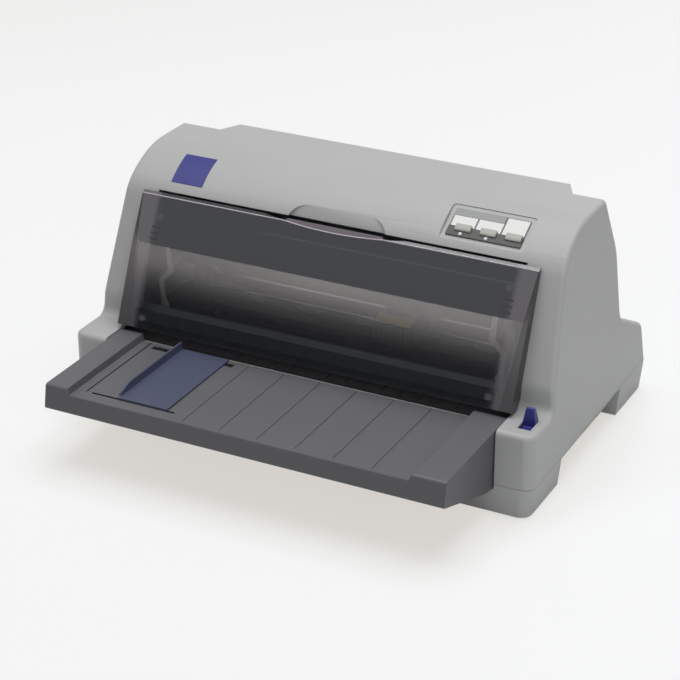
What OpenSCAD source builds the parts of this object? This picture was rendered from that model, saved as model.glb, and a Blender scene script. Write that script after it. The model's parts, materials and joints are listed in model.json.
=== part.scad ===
// Flatbed dot matrix printer with a smoked front cover and a front paper tray.
// Lengths are in millimetres. X runs across the printer, Y from front to back, Z up.
// Inside the modules Y is 0 at the pedestal fronts and Z is 0 on the ground;
// from_front() shifts them so that the origin lies under the middle of the whole printer.

/* [Case] */
// Width over the case sides
case_w = 470; // [455:1:480]
// Depth from the pedestal fronts to the back edge
case_depth = 288; // [280:1:300]
// Height of the flat top
case_h = 233; // [229:1:240]
// How far each side leans in by the time it reaches the flat top
lean_in = 13.5; // [10:0.5:16]
// Height where the sides start to lean in
lean_z = 72; // [64:1:76]
// Wall of the moulded case and tray
wall = 2.6; // [2.2:0.1:3]
// Rounding of the long side edges of the case
edge_r = 4.5; // [3.5:0.5:6]
// Rounding of the upright corners at the pedestal fronts
front_corner_r = 11; // [9:0.5:13]
// Height of the seam between the lower and the upper case, at the front
seam_z = 29; // [28:0.5:30]
// How much higher the seam lies at the back
seam_rise = 5.5; // [4:0.5:6]
// Open gap in that seam
seam_gap = 0.4; // [0.3:0.1:0.6]
// Height of the low deck behind the rear wall
deck_z = 105; // [98:1:110]
// Depth of that deck
deck_depth = 70; // [60:1:75]
// Depth at which the flat top starts
brow_y = 150; // [146:1:154]
// Radius of the round brow under the flat top
brow_r = 84; // [76:1:90]
// Steepness where the brow ends and a tighter bend leads into the case front, in degrees
brow_angle = 41; // [38:0.5:44]

/* [Pedestals] */
// Width of a pedestal
pedestal_w = 35.6; // [34:0.2:38]
// Height of the pedestal tops
pedestal_top = 82; // [81:0.5:83]
// Depth of the pedestal tops
pedestal_depth = 49.5; // [48:0.5:51]
// Depth of the bay that takes the back of the tray
bay_depth = 26; // [24:0.5:27]

/* [Front cover] */
// How far the cover reaches over each pedestal
cover_lap = 2.6; // [1.6:0.2:4]
// Wall of the cover
cover_wall = 2.2; // [1.8:0.1:2.4]
// How far the crease across the cover lies below its top
crease_drop = 44; // [34:1:54]
// Depth of the finger dip in the cover's top edge
dip_depth = 2.9; // [2:0.1:3.5]
// Radius of the two hinge pins
cover_pin_r = 1.4; // [1.2:0.1:1.5]

/* [Paper tray] */
// How far the tray reaches in front of the pedestals
tray_reach = 104; // [95:1:115]
// Height of the tray floor
tray_floor = 75; // [74:0.5:75.5]
// Height of the tray rims
tray_rim = 81; // [79:0.5:81.5]
// Height of the tray's front face
tray_front_h = 23; // [18:0.5:26]
// Distance between the grooves in the tray floor
groove_pitch = 37.1; // [30:0.1:40]
// Width of the edge guide plate
guide_w = 52; // [40:1:60]
// How far the edge guide slides
guide_travel = 35; // [25:1:37]

/* [Printing mechanism] */
// How far each side frame stands outside the bay
frame_out = 5.6; // [5:0.2:8]
// Sheet thickness of the frames
sheet = 1.6; // [1.2:0.1:2]
// Height of the paper bed
bed_z = 77; // [76.5:0.1:77.5]
// Radius of the platen
platen_r = 12.5; // [10:0.5:13]
// Radius of the shafts that carry the rollers
shaft_r = 4; // [3.5:0.1:4.5]
// Radius of the carriage guide shaft
guide_shaft_r = 5; // [4:0.1:6]
// Height of the guide shaft
guide_shaft_z = 100; // [98:0.5:101]
// Module of the paper feed gears
gear_module = 1; // [0.9:0.05:1.1]
// Teeth on the platen gear
platen_teeth = 28; // [26:1:30]
// Teeth on the idler gears
idler_teeth = 17; // [16:1:18]
// Teeth on the gears of the feed shafts
feed_teeth = 18; // [16:1:20]
// Teeth on the feed motor pinion
pinion_teeth = 12; // [11:1:13]
// Where the carriage stands across the printer
carriage_x = 52; // [-118:1:118]
// Pitch radius of the belt pulleys
pulley_r = 8; // [6:0.5:9]

/* [Control panel] */
// Distance between the push buttons
button_pitch = 24.3; // [20:0.1:26]
// Width of a push button
button_w = 15; // [10:0.5:17]
// How far a push button stands out of its plate
button_rise = 2.8; // [2:0.1:4]

/* [Fits] */
// Gap between pieces that move past each other
slip = 0.3; // [0.2:0.05:0.4]
// Radial clearance of a shaft in its bearing
running = 0.06; // [0.03:0.01:0.09]

/* [Hidden] */
$fn = 48;

shell_grey = [0.72, 0.73, 0.72];
tray_grey = [0.40, 0.40, 0.42];
smoke = [0.25, 0.26, 0.29, 0.75];
guide_blue = [0.33, 0.34, 0.42];
lever_blue = [0.24, 0.25, 0.52];
dark_plastic = [0.16, 0.17, 0.18];
steel = [0.70, 0.71, 0.73];
zinc = [0.62, 0.63, 0.64];
black_rubber = [0.10, 0.10, 0.10];
white_plastic = [0.85, 0.85, 0.82];
board_green = [0.10, 0.32, 0.20];
gold = [0.80, 0.65, 0.38];

module from_front() translate([0, -(case_depth - tray_reach) / 2, 0]) children();

// ---- outlines in the (y, z) plane ----

function unit(v) = v / norm(v);
function turned(v) = [-v[1], v[0]];
function bent(a) = a > 180 ? a - 360 : a < -180 ? a + 360 : a;

// One corner of an outline, rounded to radius r as an arc of points
function corner(a, b, c, r) = r <= 0 ? [b] :
    let(u = unit(a - b), v = unit(c - b), half = acos(u * v) / 2,
        centre = b + unit(u + v) * r / sin(half),
        p = b + u * r / tan(half) - centre, q = b + v * r / tan(half) - centre,
        start = atan2(p[1], p[0]), sweep = bent(atan2(q[1], q[0]) - start),
        n = max(1, ceil(abs(sweep) / (r > 15 ? 5 : 11))))
    [for (i = [0:n]) centre + r * [cos(start + sweep * i / n), sin(start + sweep * i / n)]];

// An outline from its corners, each given as [y, z, radius]
function outline(c) = let(n = len(c), p = [for (k = c) [k[0], k[1]]])
    [for (i = [0:n - 1]) each corner(p[(i + n - 1) % n], p[i], p[(i + 1) % n], c[i][2])];

// An anticlockwise outline drawn in by d all round
function drawn_in(p, d) = let(n = len(p))
    [for (i = [0:n - 1])
        let(u = turned(unit(p[i] - p[(i + n - 1) % n])), v = turned(unit(p[(i + 1) % n] - p[i])))
        p[i] + d * (u + v) / (1 + u * v)];

// A plate along X, drawn as a (y, z) outline and centred on x
module across(x, w) translate([x - w / 2, 0, 0]) rotate([90, 0, 90]) linear_extrude(w) children();

// A box given by its two opposite corners
module block(a, b) translate(a) cube(b - a);

// A round bar along X from x1 to x2 through [y, z]
module bar(x1, x2, at, r) translate([x1, at[0], at[1]]) rotate([0, 90, 0]) cylinder(r = r, h = x2 - x1);

// A rectangle with round corners, centred
module round_rect(w, h, r) {
    square([w, h - 2 * r], center = true);
    square([w - 2 * r, h], center = true);
    for (x = [-1, 1], y = [-1, 1]) translate([x * (w / 2 - r), y * (h / 2 - r)]) circle(r);
}

// ---- case form ----

bay_w = case_w - 2 * pedestal_w;
side_lean = lean_in / (case_h - lean_z);
function half_w(z) = case_w / 2 - side_lean * max(0, z - lean_z);

rear_lean = tan(18.5);
deck_edge_z = deck_z - 28.3;
deck_y = case_depth - deck_depth;
rear_bend = [deck_y - 4.5, deck_z + 71];
top_rear_y = deck_y - 29;
rear_seam_z = seam_z + seam_rise;
slope_foot = [pedestal_depth + 1, pedestal_top + 22];
brow_centre = [brow_y, case_h - brow_r];
function on_brow(a, r = brow_r) = brow_centre + r * [-sin(a), cos(a)];
// Past the brow a straight run of its tangent leads to the bend over the case front
brow_run = 10.4;
brow_end = on_brow(brow_angle) - brow_run * [cos(brow_angle), sin(brow_angle)];
slope_angle = atan2(brow_end[1] - slope_foot[1], brow_end[0] - slope_foot[0]);
slope_top = brow_end - 1.7 * [cos(slope_angle), sin(slope_angle)];
brow_z = slope_top[1];

// Corners of the case seen from the side, anticlockwise from the front of the seam
function case_corners(bottom) = [
    [0, bottom, 0],
    [case_depth + rear_lean * (rear_seam_z - bottom), bottom, 0],
    [case_depth - rear_lean * (deck_edge_z - rear_seam_z), deck_edge_z, 12],
    [deck_y, deck_z, 14],
    [rear_bend[0], rear_bend[1], 60],
    [top_rear_y, case_h, edge_r + 1],
    [brow_y - brow_r * tan(brow_angle / 2), case_h, brow_r],
    [brow_end[0], brow_end[1], 0.97 * brow_run / tan((slope_angle - brow_angle) / 2)],
    [slope_foot[0], slope_foot[1], 30],
    [pedestal_depth, pedestal_top, 9],
    [0, pedestal_top, edge_r + 1]];

// The case form: an outline carried across the width between the leaning sides,
// with its long edges rounded over by rings that draw the outline in
module case_form(shape, round_r, inset) {
    n = len(shape);
    steps = round_r > 0 ? 4 : 0;
    turns = [for (k = [0:steps]) steps > 0 ? 90 * k / steps : 90];
    rings = concat([for (a = turns) [-1, a]], [for (k = [steps:-1:0]) [1, turns[k]]]);
    rows = [for (s = rings)
        let(out = inset + round_r * (1 - cos(s[1])), p = drawn_in(shape, round_r * (1 - sin(s[1]))))
        each [for (q = p) [s[0] * (half_w(q[1]) - out), q[0], q[1]]]];
    middle = [case_depth * 0.45, lean_z];
    caps = [for (s = [-1, 1]) [s * (case_w / 2 - inset), middle[0], middle[1]]];
    last = (len(rings) - 1) * n;
    polyhedron(
        points = concat(rows, caps),
        faces = concat(
            [for (j = [0:len(rings) - 2], i = [0:n - 1])
                let(a = j * n + i, b = j * n + (i + 1) % n) each [[a, a + n, b + n], [a, b + n, b]]],
            [for (i = [0:n - 1]) [len(rows), i, (i + 1) % n]],
            [for (i = [0:n - 1]) [len(rows) + 1, last + (i + 1) % n, last + i]]),
        convexity = 6);
}

// Raised back of the case, between the two sloping ends of the rear wall
bulge_left = -case_w / 2 + 69.5;
bulge_right = case_w / 2 - 57.5;
bulge_depth = 22;
module rear_bulge(inset) {
    back = top_rear_y + bulge_depth - inset;
    left = bulge_left + inset;
    right = bulge_right - inset;
    intersection() {
        across(0, case_w) polygon(outline([
            [top_rear_y - 30, deck_z + 70, 0], [back + 1, deck_z + 70, 0],
            [back, case_h - inset, 4], [top_rear_y - 30, case_h - inset, 0]]));
        // its ends slant towards the sides
        linear_extrude(case_h + 1) polygon(outline([
            [right + 25, back - 50, 0], [right, back, 5], [left, back, 5], [left - 25, back - 50, 0]]));
    }
}

// ---- places of the mechanism ----

frame_x = bay_w / 2 + frame_out;
platen_axis = [115, bed_z + 1 - platen_r];
feed_roller_r = 8;
feed_z = bed_z + 0.6 - feed_roller_r;
gear_reach = gear_module * (platen_teeth + 2 * idler_teeth + feed_teeth) / 2;
feed_drop = feed_z - platen_axis[1];
feed_offset = sqrt(gear_reach * gear_reach - feed_drop * feed_drop);
front_feed_axis = [platen_axis[0] - feed_offset, feed_z];
rear_feed_axis = [platen_axis[0] + feed_offset, feed_z];
pinch_front_r = 5;
pinch_rear_r = 4;
pinch_shaft_r = 2;
front_pinch_axis = front_feed_axis + [0, feed_roller_r + slip + pinch_front_r];
rear_pinch_axis = rear_feed_axis + [0, feed_roller_r + slip + pinch_rear_r];
pinion_reach = gear_module * (platen_teeth + pinion_teeth) / 2;
pinion_axis = platen_axis - [0, pinion_reach];
idler_reach = gear_module * (platen_teeth + idler_teeth) / 2;
feed_angle = atan2(feed_drop, feed_offset);
front_idler_axis = platen_axis + idler_reach * [-cos(feed_angle), sin(feed_angle)];
rear_idler_axis = platen_axis + idler_reach * [cos(feed_angle), sin(feed_angle)];
guide_shaft_axis = [150, guide_shaft_z];
gear_w = 5;
gear_x = -frame_x - sheet - 1 - gear_w;
bush_flange = 1;
pulley_x = frame_x - 25;
pulley_y = 184;
belt_z = guide_shaft_z + 4;
belt_w = 6;
belt_t = 1.2;
cartridge_z = guide_shaft_z + 21;
chassis_z = 12.6;
frame_back = deck_y - 18;

// ---- case ----

foot_inset = 12;
front_foot_depth = 70.5;
rear_foot_depth = 69;
foot_w = 84;
tub_floor = 10;
rim_t = 1.8;
side_taper = 6;
seam_tilt = atan(seam_rise / case_depth);

// The seam rises a little towards the back
module at_seam() translate([0, 0, seam_z]) rotate([seam_tilt, 0, 0]) children();

// Floor plan of the case, with wide front corners and tight rear ones
module floor_plan(w, depth, d) {
    translate([0, depth * 0.35]) round_rect(w, depth * 0.7, front_corner_r - d);
    translate([0, depth * 0.65]) round_rect(w, depth * 0.7, edge_r - d / 2);
}

// A prism on the floor plan whose side s draws in towards the ground
module leaning(s, d) translate([s * (case_w / 2 - d), d, seam_z]) rotate([0, s * side_taper, 0])
    translate([-s * (case_w / 2 + 30), 0, -150]) linear_extrude(200) floor_plan(case_w + 60, case_depth - 2 * d, d);

// The lower case as a solid, every face of it set in by d
module tub(d) intersection() {
    union() {
        block([-case_w / 2 + foot_inset + d, 5 + d, tub_floor + d],
            [case_w / 2 - foot_inset - d, case_depth - 8 - d, seam_z + 20]);
        for (s = [-1, 1], y = [[0, front_foot_depth], [case_depth - rear_foot_depth, case_depth]])
            block([min(s * (case_w / 2 - foot_w), s * case_w / 2) + d, y[0] + d, 1.5 + d],
                [max(s * (case_w / 2 - foot_w), s * case_w / 2) - d, y[1] - d, seam_z + 20]);
        block([-case_w / 2 + foot_w - 1, 2 + d, 6 + d], [case_w / 2 - foot_w + 1, 30, tub_floor + 8]);
    }
    leaning(1, d);
    leaning(-1, d);
    at_seam() block([-case_w, -10, -80], [case_w, case_depth + 40, d > 0 ? 30 : -rim_t / 2]);
}

module tray_bay(d, top) block([-bay_w / 2 - d, -5, 24.4 - slip - d], [bay_w / 2 + d, bay_depth + d, top]);

module lower_case() color(shell_grey) from_front() {
    difference() {
        union() {
            tub(0);
            // the rim plate follows the outline of the upper case
            at_seam() translate([0, 0, -rim_t]) linear_extrude(rim_t) floor_plan(case_w, case_depth, 0);
        }
        difference() {
            tub(wall);
            tray_bay(wall, seam_z + 12);
        }
        tray_bay(0, seam_z + 12);
        for (p = foot_places) translate([p[0], p[1], 0]) cylinder(r = foot_r + 0.1, h = 2.4);
    }
}

foot_r = 9;
foot_places = [for (x = [-1, 1], y = [36, case_depth - 36]) [x * (case_w / 2 - 34), y]];
module rubber_feet() color(black_rubber) from_front()
    for (p = foot_places) translate([p[0], p[1], 0]) cylinder(r = foot_r, h = 2.4);

opening_w = bay_w - 22.8;
hinge_gap_top = pedestal_top + 13.5;
header_lip = [slope_top[0] + 10, brow_z - 2.5];

// Scoop in the header over the cover, for a fingertip
scoop_w = 101;
scoop_top = 39.5;
scoop_depth = 5;
module scoop(d) {
    top = on_brow(scoop_top);
    low = slope_top + scoop_depth * [sin(brow_angle), -cos(brow_angle)];
    across(0, scoop_w + 2 * d) translate(d * [sin(44), -cos(44)])
        polygon([top, [60, top[1] + 20], [60, low[1] - 2], low]);
}
module scoop_outline() {
    mid = on_brow(44);
    translate([0, mid[0], mid[1]]) rotate([44, 0, 0]) translate([0, -32 + on_brow_length(44, scoop_top), -20])
        linear_extrude(40) round_rect(scoop_w, 64, 20);
}
function on_brow_length(a, b) = brow_r * sin(a - b);

// Control panel: a flat pocket let into the brow
panel_x = case_w / 2 - 94.4;
panel_mid = 30.1;
panel_span = [81.5, 39.9];
panel_floor = 3.3;
module on_panel() {
    at = on_brow(panel_mid, brow_r - panel_floor);
    translate([panel_x, at[0], at[1]]) rotate([panel_mid, 0, 0]) children();
}
button_row = -6.5;
button_h = 6.5;
button_x = [for (i = [-1:1]) 3 + i * button_pitch];
panel_plate_t = 1.4;
panel_plate = [72.4, 30.4];

// Badge: a thin plate that follows the round brow
badge_span = [18.2, 42.1];
badge_x = [-case_w / 2 + 57, -case_w / 2 + 90.5];
module brow_band(x, r1, r2, a) across((x[0] + x[1]) / 2, x[1] - x[0])
    polygon(concat([for (i = [0:6]) on_brow(a[0] + (a[1] - a[0]) * i / 6, r2)],
        [for (i = [6:-1:0]) on_brow(a[0] + (a[1] - a[0]) * i / 6, r1)]));

lever_slot = [[bay_w / 2 + 14.1, 13.5], [bay_w / 2 + 26.6, 34]];
lever_pivot = [23.5, 60];

rear_slot_z = deck_z + 3;
rear_slot_h = 12;
rear_slot_w = bay_w - 98.8;

socket_wall_y = case_depth - 24;
socket_pocket = [[-case_w / 2 + 85, rear_seam_z + 3.5], [case_w / 2 - 45, rear_seam_z + 33.5]];
inlet_at = [case_w / 2 - 80, 51];
parallel_at = [20, 51];
usb_at = [-case_w / 2 + 145, 51];
switch_at = [250, 56];
switch_size = [22, 14];

// The room outside the rounded upright corner at a pedestal's front
module corner_room(d) {
    r = front_corner_r - d;
    top = pedestal_top - d;
    t = edge_r + 1 - d;
    for (s = [-1, 1]) translate([s * (case_w / 2 - front_corner_r), front_corner_r, 0]) difference() {
        block([s > 0 ? 0 : -r - 9, -r - 9, 10], [s > 0 ? r + 9 : 0, 0, top + 9]);
        rotate_extrude() {
            square([r, top - t]);
            square([r - t, top]);
            translate([r - t, top - t]) intersection() {
                circle(t);
                square(t);
            }
        }
    }
}

module upper_case() color(shell_grey) from_front() difference() {
    union() {
        case_form(outline(case_corners(seam_z - 2 * edge_r)), edge_r, 0);
        rear_bulge(0);
    }
    // the form starts below the seam, so that its lower edge stays sharp
    at_seam() block([-case_w, -10, -60], [case_w, case_depth + 40, seam_gap]);
    corner_room(0);
    difference() {
        union() {
            case_form(drawn_in(outline(case_corners(seam_z - 2 * edge_r)), wall), edge_r - wall, wall);
            rear_bulge(wall);
        }
        tray_bay(wall, pedestal_top);
        corner_room(wall);
        on_panel() translate([0, 0, -wall]) linear_extrude(20)
            square([panel_span[0] + 2 * wall, panel_span[1] + 2 * wall], center = true);
        scoop(wall);
        block([socket_pocket[0][0] - wall, socket_wall_y - wall, 20],
            [socket_pocket[1][0] + wall, case_depth + 5, socket_pocket[1][1] + wall]);
    }
    tray_bay(0, pedestal_top + 20);
    // front opening, behind the cover
    across(0, opening_w) polygon([[-5, tray_floor - 1], [slope_foot[0] + 9, tray_floor - 1],
        [slope_foot[0] + 9, slope_foot[1]], header_lip, slope_top, [-5, slope_top[1]]]);
    // wider low down, where the hinge ears stand
    block([-bay_w / 2, bay_depth - 1, tray_floor - 1], [bay_w / 2, pedestal_depth + 5, hinge_gap_top]);
    intersection() {
        scoop(0);
        scoop_outline();
    }
    on_panel() linear_extrude(20) round_rect(panel_span[0], panel_span[1], 4);
    for (x = button_x) on_panel() translate([x, button_row, -10])
        linear_extrude(12) square([button_w + 2 * slip, button_h + 2 * slip], center = true);
    brow_band(badge_x - [0.1, -0.1], brow_r - 0.5, brow_r + 4, badge_span + [-0.1, 0.1]);
    block([lever_slot[0][0], lever_slot[0][1], pedestal_top - 10], [lever_slot[1][0], lever_slot[1][1], pedestal_top + 5]);
    block([-rear_slot_w / 2, top_rear_y + 8, rear_slot_z], [rear_slot_w / 2, deck_y + 5, rear_slot_z + rear_slot_h]);
    block([socket_pocket[0][0], socket_wall_y, socket_pocket[0][1]],
        [socket_pocket[1][0], case_depth + 5, socket_pocket[1][1]]);
    for (s = [[inlet_at, inlet_size], [parallel_at, parallel_size], [usb_at, usb_size]])
        block([s[0][0] - s[1][0] / 2 - slip, socket_wall_y - 6, s[0][1] - s[1][1] / 2 - slip],
            [s[0][0] + s[1][0] / 2 + slip, socket_wall_y + 1, s[0][1] + s[1][1] / 2 + slip]);
    block([-case_w / 2 - 1, switch_at[0] - switch_size[0] / 2 - slip, switch_at[1] - switch_size[1] / 2 - slip],
        [-case_w / 2 + 6, switch_at[0] + switch_size[0] / 2 + slip, switch_at[1] + switch_size[1] / 2 + slip]);
}

module badge_plate() color(lever_blue) from_front()
    brow_band(badge_x, brow_r - 0.45, brow_r + 0.35, badge_span);

// ---- control panel ----

module control_panel() color(white_plastic) from_front() on_panel() difference() {
    linear_extrude(panel_plate_t) round_rect(panel_plate[0], panel_plate[1], 1);
    for (x = button_x) translate([x, button_row, -1])
        linear_extrude(5) square([button_w + 2 * slip, button_h + 2 * slip], center = true);
}

board_drop = 9;
module panel_board() from_front() on_panel() {
    color(board_green) translate([0, 0, -board_drop - 1.6]) linear_extrude(1.6) square([78, 30], center = true);
    color(dark_plastic) for (x = button_x) translate([x, button_row, -board_drop])
        linear_extrude(3) square(6, center = true);
    color(white_plastic) for (x = [-1, 1], y = [-1, 1]) translate([x * 36.8, y * 12.6, -board_drop])
        cylinder(r = 2, h = board_drop - wall);
}

module button(i) color(white_plastic) from_front() on_panel() translate([button_x[i], button_row, 0]) {
    translate([0, 0, -5]) linear_extrude(5 + panel_plate_t + button_rise - 1)
        square([button_w, button_h], center = true);
    // the cap slopes down to the front, as a fingertip meets it
    rotate([90, 0, 90]) translate([0, 0, -button_w / 2]) linear_extrude(button_w)
        polygon([[-button_h / 2, 0], [button_h / 2, 0], [button_h / 2, panel_plate_t + button_rise],
            [-button_h / 2 + 1.5, panel_plate_t + button_rise - 0.4],
            [-button_h / 2, panel_plate_t + button_rise - 1.6]]);
}
module button_feed() button(0);
module button_load() button(1);
module button_pause() button(2);

// ---- release lever ----

lever_w = lever_slot[1][0] - lever_slot[0][0] - 2 * slip;
lever_x = (lever_slot[0][0] + lever_slot[1][0]) / 2;
lever_disc_r = pedestal_top - lever_pivot[1] - 3.5;
lever_bore_r = 3;
module release_lever() color(lever_blue) from_front() difference() {
    union() {
        intersection() {
            bar(lever_x - lever_w / 2, lever_x + lever_w / 2, lever_pivot, lever_disc_r);
            across(lever_x, lever_w) translate(lever_pivot)
                polygon([[0, -6], [-30, -6], [-30, 30], [30, 30], [30, 4], [8, -6]]);
        }
        intersection() {
            across(lever_x, lever_w) polygon([[lever_pivot[0] + 1, 66], [lever_slot[1][1] - 0.8, 74],
                [lever_slot[1][1] - 0.8, pedestal_top + 3], [lever_slot[1][1] - 3, pedestal_top + 13],
                [lever_slot[1][1] - 5, pedestal_top + 14.5], [lever_slot[1][1] - 7, pedestal_top + 14],
                [lever_slot[1][1] - 8, pedestal_top + 3]]);
            // the handle narrows towards its tip
            translate([lever_x, 60, 0]) rotate([90, 0, 0]) linear_extrude(80)
                polygon([[-lever_w / 2, 60], [lever_w / 2, 60], [lever_w / 2, pedestal_top + 2],
                    [3.8, pedestal_top + 14], [2.8, pedestal_top + 15], [-2.8, pedestal_top + 15],
                    [-3.8, pedestal_top + 14], [-lever_w / 2, pedestal_top + 2]]);
        }
    }
    bar(lever_x - 20, lever_x + 20, lever_pivot, lever_bore_r);
}

// The bracket stands on the lower case and carries the lever on a pin
module lever_bracket() color(zinc) from_front() {
    for (x = [lever_x - lever_w / 2 - slip - 1.5, lever_x + lever_w / 2 + slip])
        translate([x, 0, 0]) across(0.75, 1.5) polygon([[10, tub_floor + 4], [37, tub_floor + 4],
            [lever_pivot[0] + 6, lever_pivot[1] + 5], [lever_pivot[0] - 6, lever_pivot[1] + 5]]);
    block([lever_x - lever_w / 2 - slip - 1.5, 10, 1.5 + wall], [lever_x + lever_w / 2 + slip + 1.5, 37, tub_floor + 4]);
    bar(lever_x - lever_w / 2 - slip - 1.5, lever_x + lever_w / 2 + slip + 1.5, lever_pivot, lever_bore_r - running);
}

// ---- paper tray ----

tray_w = bay_w - 2;
rim_left_w = 23;
rim_right_w = 31;
tray_back = bay_depth - slip;
tray_rim_back = bay_depth + 2.2;

module front_tray() color(tray_grey) from_front() difference() {
    across(0, tray_w) polygon(outline([
        [tray_back, 24.4, 0], [tray_back, tray_floor, 0], [tray_rim_back, tray_floor, 0],
        [tray_rim_back, tray_rim, 0], [4 - tray_reach, tray_rim, 3],
        [-tray_reach, tray_rim - tray_front_h, 2.5], [-13, 26.2, 30], [2, 24.4, 0]]));
    // hollow, open at the back where the tray hooks into the case
    across(0, tray_w - 2 * wall) polygon([
        [tray_back + 1, 24.4 + wall], [tray_back + 1, tray_floor - wall], [4 - tray_reach + wall, tray_floor - wall],
        [-tray_reach + wall + 1.2, tray_rim - tray_front_h + 2 * wall], [-13, 26.2 + wall + 0.8], [2, 24.4 + wall]]);
    // paper floor between the rims, with a sloping wall on each side
    rotate([90, 0, 0]) translate([0, 0, -60]) linear_extrude(60 + tray_reach + 10)
        polygon([[-tray_w / 2 + rim_left_w + 2.5, tray_floor], [tray_w / 2 - rim_right_w - 3.5, tray_floor],
            [tray_w / 2 - rim_right_w, tray_rim + 1], [-tray_w / 2 + rim_left_w, tray_rim + 1]]);
    for (i = [0:grooves - 1]) block([groove_start + i * groove_pitch - 0.5, 8 - tray_reach, tray_floor - 0.7],
        [groove_start + i * groove_pitch + 0.5, tray_back + 1, tray_floor + 1]);
    // groove beside the guide, and the two slots that the guide's hooks run in
    block([guide_range[0] - 6, 17 - tray_reach, tray_floor - 0.7], [guide_range[0] - 5, tray_back - 2, tray_floor + 1]);
    for (y = [guide_front_slot, guide_rear_slot])
        block([guide_range[0], y[0], tray_floor - wall - 1], [guide_range[1], y[1], tray_floor + 1]);
}
guide_range = [-tray_w / 2 + 40.4, -tray_w / 2 + 40.4 + guide_w + guide_travel];
guide_x = -tray_w / 2 + 67.4;
groove_start = guide_x + 73.4;
grooves = 1 + floor((tray_w / 2 - rim_right_w - 4 - groove_start) / groove_pitch);

// ---- edge guide ----

guide_front_slot = [-tray_reach + 16.4, -tray_reach + 18.4];
guide_rear_slot = [14.4, 20.4];
guide_t = 1.6;
guide_y = [-tray_reach + 20.5, 24.2];
module edge_guide() color(guide_blue) from_front() {
    z = tray_floor + slip;
    block([guide_x, guide_y[0], z], [guide_x + guide_w, guide_y[1], z + guide_t]);
    // the fin that the paper's edge runs along
    across(guide_x + 0.9, 1.8) polygon(outline([[guide_y[0], z, 0], [guide_y[1], z, 0], [guide_y[1], 84, 1],
        [guide_y[0] + 16, 84, 20], [guide_y[0], z + 4, 3]]));
    // hooks through the two slots
    block([guide_x + slip, guide_front_slot[0] + slip, z], [guide_x + guide_w - slip, guide_y[0] + 1, z + guide_t]);
    for (y = [[guide_front_slot[0] + slip, guide_front_slot[1] - slip], [guide_rear_slot[0] + slip, guide_rear_slot[1] - slip]])
        block([guide_x + slip, y[0], tray_floor - wall - slip - 1.5], [guide_x + guide_w - slip, y[1], z + 0.1]);
    for (y = [[guide_front_slot[0] + slip - 1.8, guide_front_slot[1] - slip], [guide_rear_slot[0] + slip, guide_rear_slot[1] + 3]])
        block([guide_x + slip, y[0], tray_floor - wall - slip - 1.5], [guide_x + guide_w - slip, y[1], tray_floor - wall - slip]);
}

// ---- front cover ----

cover_w = bay_w + 2 * cover_lap;
cover_pivot = [pedestal_depth - 15.1, pedestal_top + 10];
cover_foot = [pedestal_depth - 22.9, pedestal_top + 4.4];
cover_top = [slope_top[0] - 5.6, brow_z - 3.2];
cover_crease = [cover_foot[0] + 32.4, cover_top[1] - crease_drop + 3.2];
cover_lean = atan2(cover_top[1] - cover_foot[1], cover_top[0] - cover_foot[0]);
cover_gap = 0.6;
cover_lip = [slope_top[0] - cover_gap, cover_top[1] + 2.8];
lip_slope = (cover_lip[1] - cover_top[1]) / (cover_lip[0] - cover_top[0]);

// The cover's side view, from its face to the case front, every wall set in by d
module cover_side(d) {
    back = slope_foot + [-cover_gap, 0];
    face = cover_wall_in(d);
    if (d == 0)
        polygon(outline([[cover_foot[0], cover_foot[1], 1], [cover_foot[0] + 4, pedestal_top + 2, 3],
            [pedestal_depth - 8.5, pedestal_top + 1.2, 3],
            [pedestal_depth - cover_gap, pedestal_top + 11, 3], [back[0], back[1], 0],
            [cover_lip[0], cover_lip[1], 0.8], [cover_top[0], cover_top[1], 1.2],
            [cover_crease[0], cover_crease[1], 0]]));
    else
        polygon([face[0] + [-6 / tan(cover_lean), -6], [200, 60], [200, face[2][1] + (200 - face[2][0]) * lip_slope],
            face[2], face[1]]);
}
// Foot, crease and top of the face, moved in by d
function cover_wall_in(d) = let(
    n1 = turned(unit(cover_foot - cover_crease)), n2 = turned(unit(cover_crease - cover_top)),
    mid = cover_crease + d * (n1 + n2) / (1 + n1 * n2))
    [cover_foot + d * n1, mid, cover_top + d * n2 - d * unit(cover_top - cover_crease)];

// Finger dip: a wide round hollow in the cover's top edge
dip_w = 100;
dip_r = (dip_w * dip_w / 4 + dip_depth * dip_depth) / 2 / dip_depth;
module cover_dip(d) translate([0, cover_top[0], cover_top[1]]) rotate([cover_lean - 90, 0, 0])
    translate([0, -20, dip_r - dip_depth]) rotate([-90, 0, 0]) cylinder(r = dip_r + d, h = 60);

ear_x = [bay_w / 2 - 10.4, bay_w / 2 - 3.9];
comb_z = brow_z - 34;
pad_x = bay_w / 2 - 21.4;
module front_cover() color(smoke) from_front() {
    difference() {
        across(0, cover_w) cover_side(0);
        difference() {
            across(0, cover_w - 2 * cover_wall) cover_side(cover_wall);
            cover_dip(cover_wall);
        }
        cover_dip(0);
    }
    for (s = [-1, 1]) {
        bar(min(s * (ear_x[0] - 0.5), s * (cover_w / 2 - 1)), max(s * (ear_x[0] - 0.5), s * (cover_w / 2 - 1)),
            cover_pivot, cover_pin_r);
        // moulded pads and combs on the inside of the face
        for (z = [pedestal_top + 14, brow_z - 20]) translate([s * pad_x, on_face(z) - 0.4, z])
            rotate([cover_lean - 90, 0, 0]) rotate([-90, 0, 0]) cylinder(r = 3.2, h = cover_wall + 4.5);
        for (i = [0:3]) translate([s * (pad_x + (i == 3 ? 0 : 2)), on_face(comb_z + 5 - 5 * i) + 1, comb_z + 5 - 5 * i])
            cube([i == 3 ? 0.8 : 9, 6, 0.9], center = true);
    }
}
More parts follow.
